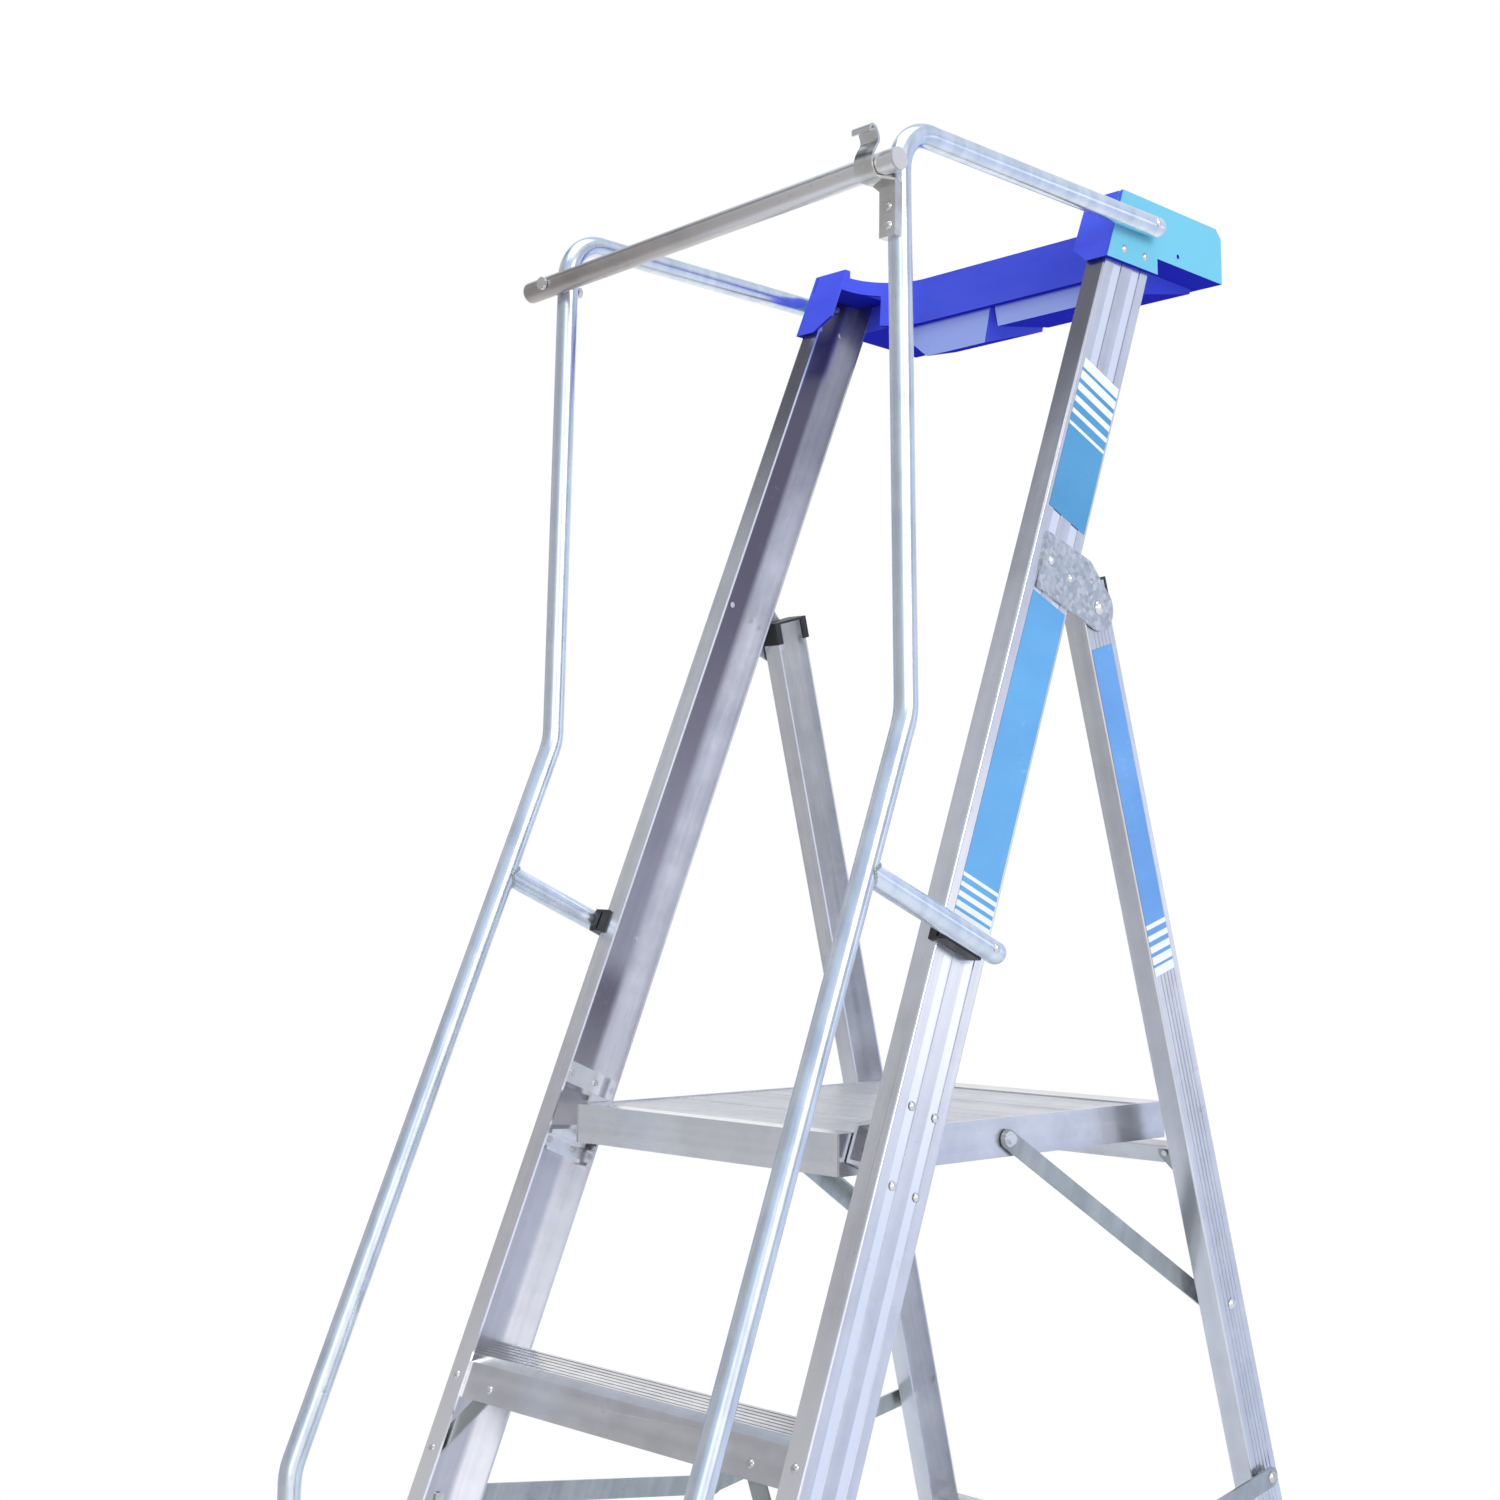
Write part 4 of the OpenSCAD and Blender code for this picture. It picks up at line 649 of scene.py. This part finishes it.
# The gate bar's browner, darker greys are a painted reflection of brownish surroundings, with a painted
# lighter end.
gate_metal = satin_tube("gate_dull_painted_reflection", (0.48, 0.45, 0.43), (0.35, 0.32, 0.30), (0.24, 0.36), ALONG_X,
                        zones=((end_lighter_zone, (0.82, 0.80, 0.79)),))
deck_metal = mill_aluminium("deck_aluminium", ALONG_X, (0.97, 0.97, 0.98), (0.86, 0.86, 0.88),
                            rough=(0.30, 0.44), dust=0.30)
wear(rail_metal, "handrail_left", "handrail_right", "rail_arm_left", "rail_arm_right")
wear(gate_metal, "gate_bar")
wear(deck_metal, "deck_planks")
print("tube finishes", rail_metal.name, gate_metal.name, deck_metal.name)

# %% [markdown]
# ## Galvanised plate and plated fasteners
# Hot zinc freezes in flat crystals, each a slightly different grey. Voronoi cells give the crystals their
# own shade. Rivets, bolts and pins are plated: small, shiny, with a slight yellow-grey stain.

# %% Finish: zinc and plating
def spangled_zinc():
    f = Finish("galvanised_spangle")
    cells = f.tree.nodes.new("ShaderNodeTexVoronoi")
    cells.inputs["Scale"].default_value = 200.0
    f.tree.links.new(f.vector, cells.inputs["Vector"])
    marks = f.group(handling_marks, Amount=0.6)
    grey = f.tree.nodes.new("ShaderNodeRGBToBW")
    f.tree.links.new(cells.outputs["Color"], grey.inputs["Color"])
    zinc = f.ramp(grey.outputs["Val"], (0.1, (0.44, 0.46, 0.50)), (0.5, (0.56, 0.59, 0.63)),
                  (0.9, (0.70, 0.73, 0.76)))
    colour = f.mix(marks.outputs["Scratches"], zinc, (0.36, 0.37, 0.38))
    roughness = f.span(grey.outputs["Val"], 0.28, 0.48)
    f.shader.inputs["Metallic"].default_value = 0.9
    return f.paint(colour, roughness, cells.outputs["Distance"], 0.0001, 0.2)


def plated_steel():
    f = Finish("plated_steel")
    marks = f.group(handling_marks, Amount=0.8)
    metal = f.ramp(marks.outputs["Smudge"], (0.32, (0.58, 0.57, 0.54)), (0.60, (0.80, 0.80, 0.80)))
    colour = f.mix(marks.outputs["Scratches"], metal, (0.40, 0.38, 0.35))
    roughness = f.span(marks.outputs["Smudge"], 0.16, 0.34)
    f.shader.inputs["Metallic"].default_value = 1.0
    return f.paint(colour, roughness, marks.outputs["Smudge"], 0.0001, 0.25)


zinc_plate, plating = spangled_zinc(), plated_steel()
wear(zinc_plate, "hinge_plate_left", "hinge_plate_right")
wear(plating, *[n for n in nodes if n.endswith(("rivets", "pins", "bolts")) or "bolt" in n])
plated = [n for n, o in nodes.items() if plating in list(o.data.materials)]
print("zinc on 2 plates, plating on", len(plated), "nodes")

# %% [markdown]
# ## Plastics and rubber
# The tray is vivid blue polypropylene with a fine moulded skin. The leg caps are black plastic, the bar's
# plugs grey plastic, and the feet black rubber with a dusty bloom. The tray isn't painted one blue all
# over:
# its outer cheeks are painted paler as painted light from the bright side, the front faces of the wells are
# painted lighter as painted light, and the underside is painted deeper as painted shade. Each of those is a
# zone, found from where a face lies and which way it looks.

# %% Finish: plastics
TRAY_FLOOR_Z, WELL_FRONT_Y, CHEEK_X, ZONE_BLEND = 2.430, 0.3166, 0.247, 0.004


def moulded_plastic(name, light, dark, rough, dust, scale=900.0, depth=0.00008, zones=(), gloss=0.5):
    f = Finish(name)
    skin = f.group(moulded_skin, Scale=scale)
    marks = f.group(handling_marks, Amount=0.35)
    body = f.ramp(skin.outputs["Flow"], (0.34, dark), (0.66, light))
    for zone, shade in zones:
        body = f.mix(zone(f), body, shade)
    scuffed = f.mix(marks.outputs["Scratches"], body, tuple(min(1.0, c * 1.5 + 0.06) for c in light))
    colour = f.mix(f.dust(dust), scuffed, (0.46, 0.45, 0.43))
    roughness = f.span(marks.outputs["Smudge"], *rough)
    f.shader.inputs["Specular IOR Level"].default_value = gloss
    return f.paint(colour, roughness, skin.outputs["Pebble"], depth, 0.3)


# Painted light: the tray's outer cheeks are painted paler, as lit by the bright side.
def cheek_painted_light(f):
    outside = f.between(math_node(f.tree, "ABSOLUTE", f.place("X")), CHEEK_X - ZONE_BLEND, CHEEK_X)
    return f.times(looking_out(f, 0.20, 0.23), outside)


# Painted light: the front faces of the wells are painted lighter.
def well_painted_light(f):
    below = f.between(f.place("Z"), TRAY_FLOOR_Z, TRAY_FLOOR_Z - ZONE_BLEND)
    ahead = f.between(f.facing("Y"), -0.4, -0.7)
    behind_lugs = f.between(f.place("Y"), WELL_FRONT_Y - ZONE_BLEND, WELL_FRONT_Y)
    return f.times(f.times(below, ahead), behind_lugs)


# Painted shade: faces that look down are painted a deeper blue.
def under_painted_shade(f):
    return f.between(f.facing("Z"), -0.3, -0.7)


# The tray's zones: painted light on the cheeks and the fronts of the wells, painted shade underneath.
tray_blue = moulded_plastic("tray_blue", (0.095, 0.135, 0.87), (0.075, 0.102, 0.76),
                            rough=(0.26, 0.40), dust=0.12, gloss=0.0,
                            zones=((cheek_painted_light, (0.19, 0.56, 0.74)), (well_painted_light, (0.42, 0.52, 1.0)),
                                   (under_painted_shade, (0.020, 0.024, 0.46))))
cap_black = moulded_plastic("cap_black", (0.030, 0.030, 0.033), (0.016, 0.016, 0.018),
                            rough=(0.40, 0.55), dust=0.25)
plug_grey = moulded_plastic("plug_grey", (0.56, 0.55, 0.58), (0.46, 0.45, 0.48),
                            rough=(0.40, 0.55), dust=0.2)
foot_rubber = moulded_plastic("foot_rubber", (0.040, 0.038, 0.037), (0.022, 0.021, 0.021),
                              rough=(0.62, 0.80), dust=0.5, scale=520.0, depth=0.00018)
wear(tray_blue, "tool_tray")
wear(cap_black, "leg_cap_left", "leg_cap_right", "rail_saddles")
wear(plug_grey, "gate_caps")
wear(foot_rubber, "front_foot_left", "front_foot_right", "rear_foot_left", "rear_foot_right")
print("plastics", tray_blue.name, cap_black.name, plug_grey.name, foot_rubber.name)

# %% [markdown]
# The floor's finish uses the same helper: nearly white, with a mottle too faint to notice but not flat.

# %% Finish: floor
def studio_white():
    f = Finish("studio_white")
    marks = f.group(handling_marks, Amount=0.0)
    colour = f.ramp(marks.outputs["Smudge"], (0.3, (0.93, 0.93, 0.94)), (0.7, (0.97, 0.97, 0.97)))
    return f.paint(colour, f.span(marks.outputs["Smudge"], 0.8, 0.95))


floor.data.materials.append(studio_white())
print("floor finish", floor.data.materials[0].name)

# %% [markdown]
# ## Where the sides are
# Each side of the step leans in a little, and on it the stile leans back and the leg leans forward. A
# matrix for each turns "so far out, so far behind the front edge, so far along" into a place in the
# world, which is how the thin pieces below are laid exactly on their metal.

# %% Places on the stiles and legs
HALF_BASE, SIDE_TAPER = 0.3075, math.radians(1.35)
LEG_INSET = 0.0015
SIDES = {"left": -1.0, "right": 1.0}


def side_matrix(side):
    lean_in = Matrix.Translation((HALF_BASE, 0.0, 0.0)) @ Matrix.Rotation(-SIDE_TAPER, 4, "Y")
    return Matrix.Scale(SIDES[side], 4, (1.0, 0.0, 0.0)) @ lean_in


def stile_matrix(side):
    lean_back = Matrix.Translation((0.0, STILE_FOOT_Y, 0.0)) @ Matrix.Rotation(-STILE_LEAN, 4, "X")
    return side_matrix(side) @ lean_back


def leg_matrix(side):
    hinge = Matrix.Translation((-LEG_INSET, HINGE_Y, HINGE_Z / math.cos(SIDE_TAPER)))
    return side_matrix(side) @ hinge @ Matrix.Rotation(LEG_LEAN, 4, "X")


print("near stile foot at", tuple(round(c, 3) for c in stile_matrix("right") @ Vector((0.0, 0.0, 0.0))))

# %% [markdown]
# ## Printed films
# Blue films with white stripes are stuck on each stile web and rear leg. A mask in the metal's finish would
# do, but a film has an edge of its own, so it is a thin strip, stretched flat over the lands of the web and
# lifted a fraction of a millimetre off them.

# %% Film strips
FILM_LIFT = 0.00025


def film_strip(name, place, across, along0, along1, rows, finish, body, slot):
    bm = bmesh.new()
    uv = bm.loops.layers.uv.new("film")
    grid = []
    for r in range(rows + 1):
        along = along0 + (along1 - along0) * r / rows
        grid.append([bm.verts.new(place @ Vector((FILM_LIFT, depth, along))) for depth in across])
    for r in range(rows):
        face = bm.faces.new((grid[r][0], grid[r][1], grid[r + 1][1], grid[r + 1][0]))
        for loop, (i, j) in zip(face.loops, ((0, r), (1, r), (1, r + 1), (0, r + 1))):
            loop[uv].uv = (float(i), j / rows)
    mesh = bpy.data.meshes.new(name)
    bm.to_mesh(mesh)
    bm.free()
    mesh.materials.append(finish)
    obj = bpy.data.objects.new(name, mesh)
    scene.collection.objects.link(obj)
    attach(obj, body)
    return obj


print("films lie", FILM_LIFT * 1000, "mm off the metal")

# %% [markdown]
# The stripes are worked out from the film's own length. The end of the film is white, and the white bands
# thin out toward the middle until only blue is left. A fraction of the length, compared with a growing
# width, gives the bands without any picture.

# %% Finish: striped film
def striped_film(name, blue, blue_dark, start, bands, widths, from_top):
    """The white share of a band goes from widths[0] where the bands start to widths[1] at the end."""
    f = Finish(name)
    uv = f.tree.nodes.new("ShaderNodeUVMap")
    uv.uv_map = "film"
    split = f.tree.nodes.new("ShaderNodeSeparateXYZ")
    f.tree.links.new(uv.outputs["UV"], split.inputs["Vector"])
    along = split.outputs["Y"] if from_top else f.minus(1.0, split.outputs["Y"])
    ramped = f.tree.nodes.new("ShaderNodeMapRange")
    ramped.inputs["From Min"].default_value = start
    f.tree.links.new(along, ramped.inputs["Value"])
    part = ramped.outputs["Result"]
    saw = math_node(f.tree, "MODULO", f.times(part, bands), 1.0)
    white = math_node(f.tree, "GREATER_THAN", f.plus(f.span(part, *widths), saw), 1.0)
    skin = f.group(moulded_skin, Scale=1400.0)
    marks = f.group(handling_marks, Amount=0.5)
    ink = f.ramp(skin.outputs["Flow"], (0.34, blue_dark), (0.66, blue))
    printed = f.mix(white, ink, (0.86, 0.88, 0.92))
    colour = f.mix(marks.outputs["Scratches"], printed, (0.55, 0.62, 0.78))
    roughness = f.span(marks.outputs["Smudge"], 0.22, 0.38)
    return f.paint(colour, roughness, skin.outputs["Pebble"], 0.00003, 0.2)


UPPER_ACROSS, UPPER_ALONG = (0.007, 0.078), (2.264, 2.465)
LOWER_ACROSS, LOWER_ALONG = (0.0155, 0.078), (1.752, 2.158)
LEG_ACROSS, LEG_ALONG = (-0.0245, 0.0165), (-0.44, -0.045)
UPPER_ROWS, LOWER_ROWS, LEG_ROWS = 24, 40, 40

upper_film = striped_film("film_upper", (0.08, 0.33, 0.60), (0.06, 0.28, 0.54),
                          start=0.483, bands=6.0, widths=(0.16, 0.84), from_top=True)
lower_film = striped_film("film_lower", (0.12, 0.41, 0.75), (0.10, 0.35, 0.69),
                          start=0.830, bands=6.0, widths=(0.31, 0.81), from_top=False)
leg_film = striped_film("film_leg", (0.14, 0.37, 0.76), (0.11, 0.31, 0.70),
                        start=0.82, bands=5.0, widths=(0.33, 0.85), from_top=False)
for side in SIDES:
    on_stile, on_leg = stile_matrix(side), leg_matrix(side)
    film_strip(f"upper_film_{side}", on_stile, UPPER_ACROSS, *UPPER_ALONG, UPPER_ROWS,
               upper_film, "front_frame", "blue_plastic")
    film_strip(f"lower_film_{side}", on_stile, LOWER_ACROSS, *LOWER_ALONG, LOWER_ROWS,
               lower_film, "front_frame", "blue_plastic")
    film_strip(f"leg_film_{side}", on_leg, LEG_ACROSS, *LEG_ALONG, LEG_ROWS,
               leg_film, "rear_frame", "blue_plastic")

# %% [markdown]
# ## Weld beads
# Each standoff arm is cut to fit the sloping rail and welded round. The joint of two equal tubes is a
# saddle-shaped loop. A torus can't follow it, so a small ring of points is swept along the loop and its
# size is rippled, as the pool of a weld freezes in overlapping scales.

# %% Weld beads
RAIL_OUT, RAIL_RADIUS, RAIL_LEAD = 0.020, 0.0127, 0.161
ARM_RISE, PLATFORM_H = 0.213, 1.4
BEAD_STEPS, BEAD_SIDES, BEAD_SIZE, BEAD_RIPPLE, RIPPLE_STEPS = 96, 10, 0.0021, 0.0004, 4


def saddle_loop(count):
    """Loop where the arm meets the rail, as (out, depth, along) from the arm's axis on the rail's axis."""
    loop = []
    for i in range(count):
        turn = 2.0 * math.pi * i / count
        out, along = RAIL_RADIUS * math.cos(turn), RAIL_RADIUS * math.sin(turn)
        loop.append(Vector((out, math.sqrt(max(0.0, RAIL_RADIUS ** 2 - out * out)), along)))
    return loop


def weld_bead(name, place, centre, body):
    loop = saddle_loop(BEAD_STEPS)
    bm = bmesh.new()
    rows = []
    for i, point in enumerate(loop):
        ahead = (loop[(i + 1) % len(loop)] - loop[i - 1]).normalized()
        outward = Vector((point.x, 0.0, point.z)).normalized()
        aside = ahead.cross(outward).normalized()
        size = BEAD_SIZE + BEAD_RIPPLE * math.sin(2.0 * math.pi * i / RIPPLE_STEPS)
        row = []
        for k in range(BEAD_SIDES):
            a = 2.0 * math.pi * k / BEAD_SIDES
            spot = centre + point + size * (outward * math.cos(a) + aside * math.sin(a))
            row.append(bm.verts.new(place @ spot))
        rows.append(row)
    for near, far in zip(rows, rows[1:] + rows[:1]):
        for k in range(BEAD_SIDES):
            after = (k + 1) % BEAD_SIDES
            bm.faces.new((near[k], near[after], far[after], far[k]))
    bmesh.ops.recalc_face_normals(bm, faces=bm.faces[:])
    mesh = bpy.data.meshes.new(name)
    bm.to_mesh(mesh)
    bm.free()
    mesh.polygons.foreach_set("use_smooth", [True] * len(mesh.polygons))
    mesh.materials.append(strip_metal)
    obj = bpy.data.objects.new(name, mesh)
    scene.collection.objects.link(obj)
    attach(obj, body)
    return obj


arm_along = (PLATFORM_H + ARM_RISE) / math.cos(SIDE_TAPER) / math.cos(STILE_LEAN)
bead_centre = Vector((RAIL_OUT, -RAIL_LEAD * math.cos(STILE_LEAN), arm_along))
beads = [weld_bead(f"arm_weld_{side}", stile_matrix(side), bead_centre, "front_frame") for side in SIDES]
print("weld beads", [(b.name, len(b.data.polygons)) for b in beads])

# %% [markdown]
# ## The gate's clip
# The bar drops into a clip of springy strip that wraps its front, leans back over it and ends in a curl for
# the thumb. The CAD hook is a plain cup, so that the bar can lift past it. Here the riveted plate of the
# hook is kept and the cup is replaced by the bent strip: a smooth line through a few points, in millimetres
# behind and above the bar's axis, given a thickness and a width. At its foot it is as wide as the plate.

# %% Gate clip
CLIP_AXIS = Vector((0.2708, -0.2267, 2.4051))
CLIP_LEFT, CLIP_RIGHT = -0.0260, -0.0010
PLATE_LEFT, PLATE_RIGHT, PLATE_TOP = -0.0205, 0.0105, -0.0166
STRIP_T, STRIP_STEPS = 0.0028, 8
CLIP_LINE = (
    (-18.0, 31.5), (-18.2, 36.2), (-14.4, 39.4), (-9.0, 37.3), (-5.4, 30.6), (-4.8, 24.4), (-9.6, 16.4),
    (-13.6, 8.0), (-15.0, 0.0), (-12.9, -7.6), (-7.5, -13.0), (0.0, -15.0), (7.5, -15.8), (14.0, -17.2))
PLATE_FROM = 10


def smooth_line(points, steps):
    """Catmull-Rom line through the points, each with how far along the list it is."""
    padded = [points[0]] + list(points) + [points[-1]]
    line = []
    for i in range(len(points) - 1):
        a, b, c, d = (Vector(padded[i + k]) for k in range(4))
        for k in range(steps):
            t = k / steps
            spot = 0.5 * (2.0 * b + (c - a) * t + (2.0 * a - 5.0 * b + 4.0 * c - d) * t ** 2
                          + (3.0 * b - a - 3.0 * c + d) * t ** 3)
            line.append((spot * 0.001, i + t))
    return line + [(Vector(points[-1]) * 0.001, float(len(points) - 1))]


def clip_strip(bm):
    line = smooth_line(CLIP_LINE, STRIP_STEPS)
    rows = []
    for i, (spot, along) in enumerate(line):
        run = line[min(i + 1, len(line) - 1)][0] - line[max(i - 1, 0)][0]
        side = Vector((run.y, -run.x)).normalized() * STRIP_T / 2.0
        share = min(1.0, max(0.0, (along - PLATE_FROM) / 2.0))
        left = CLIP_LEFT + (PLATE_LEFT - CLIP_LEFT) * share
        right = CLIP_RIGHT + (PLATE_RIGHT - CLIP_RIGHT) * share
        rows.append([bm.verts.new(CLIP_AXIS + Vector((x, *(spot + side * way))))
                     for x, way in ((left, 1.0), (right, 1.0), (right, -1.0), (left, -1.0))])
    for near, far in zip(rows, rows[1:]):
        for k in range(4):
            bm.faces.new((near[k], near[(k + 1) % 4], far[(k + 1) % 4], far[k]))
    bm.faces.new(rows[0])
    bm.faces.new(rows[-1])


def gate_clip(name, hook):
    bm = bmesh.new()
    bm.from_mesh(hook.data)
    bm.transform(hook.matrix_world)
    bmesh.ops.remove_doubles(bm, verts=bm.verts[:], dist=1e-6)
    cut = bmesh.ops.bisect_plane(bm, geom=bm.verts[:] + bm.edges[:] + bm.faces[:], plane_no=(0.0, 0.0, 1.0),
                                 plane_co=CLIP_AXIS + Vector((0.0, 0.0, PLATE_TOP)), clear_outer=True)
    bmesh.ops.holes_fill(bm, edges=[e for e in cut["geom_cut"] if isinstance(e, bmesh.types.BMEdge)])
    clip_strip(bm)
    bmesh.ops.recalc_face_normals(bm, faces=bm.faces[:])
    mesh = bpy.data.meshes.new(name)
    bm.to_mesh(mesh)
    bm.free()
    mesh.materials.append(plating)
    obj = bpy.data.objects.new(name, mesh)
    scene.collection.objects.link(obj)
    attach(obj, "front_frame")
    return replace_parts(obj, "gate_hook")


clip = gate_clip("gate_clip", nodes["gate_hook"])
print("clip faces", len(clip.data.polygons))

# %% [markdown]


print("dressing done")
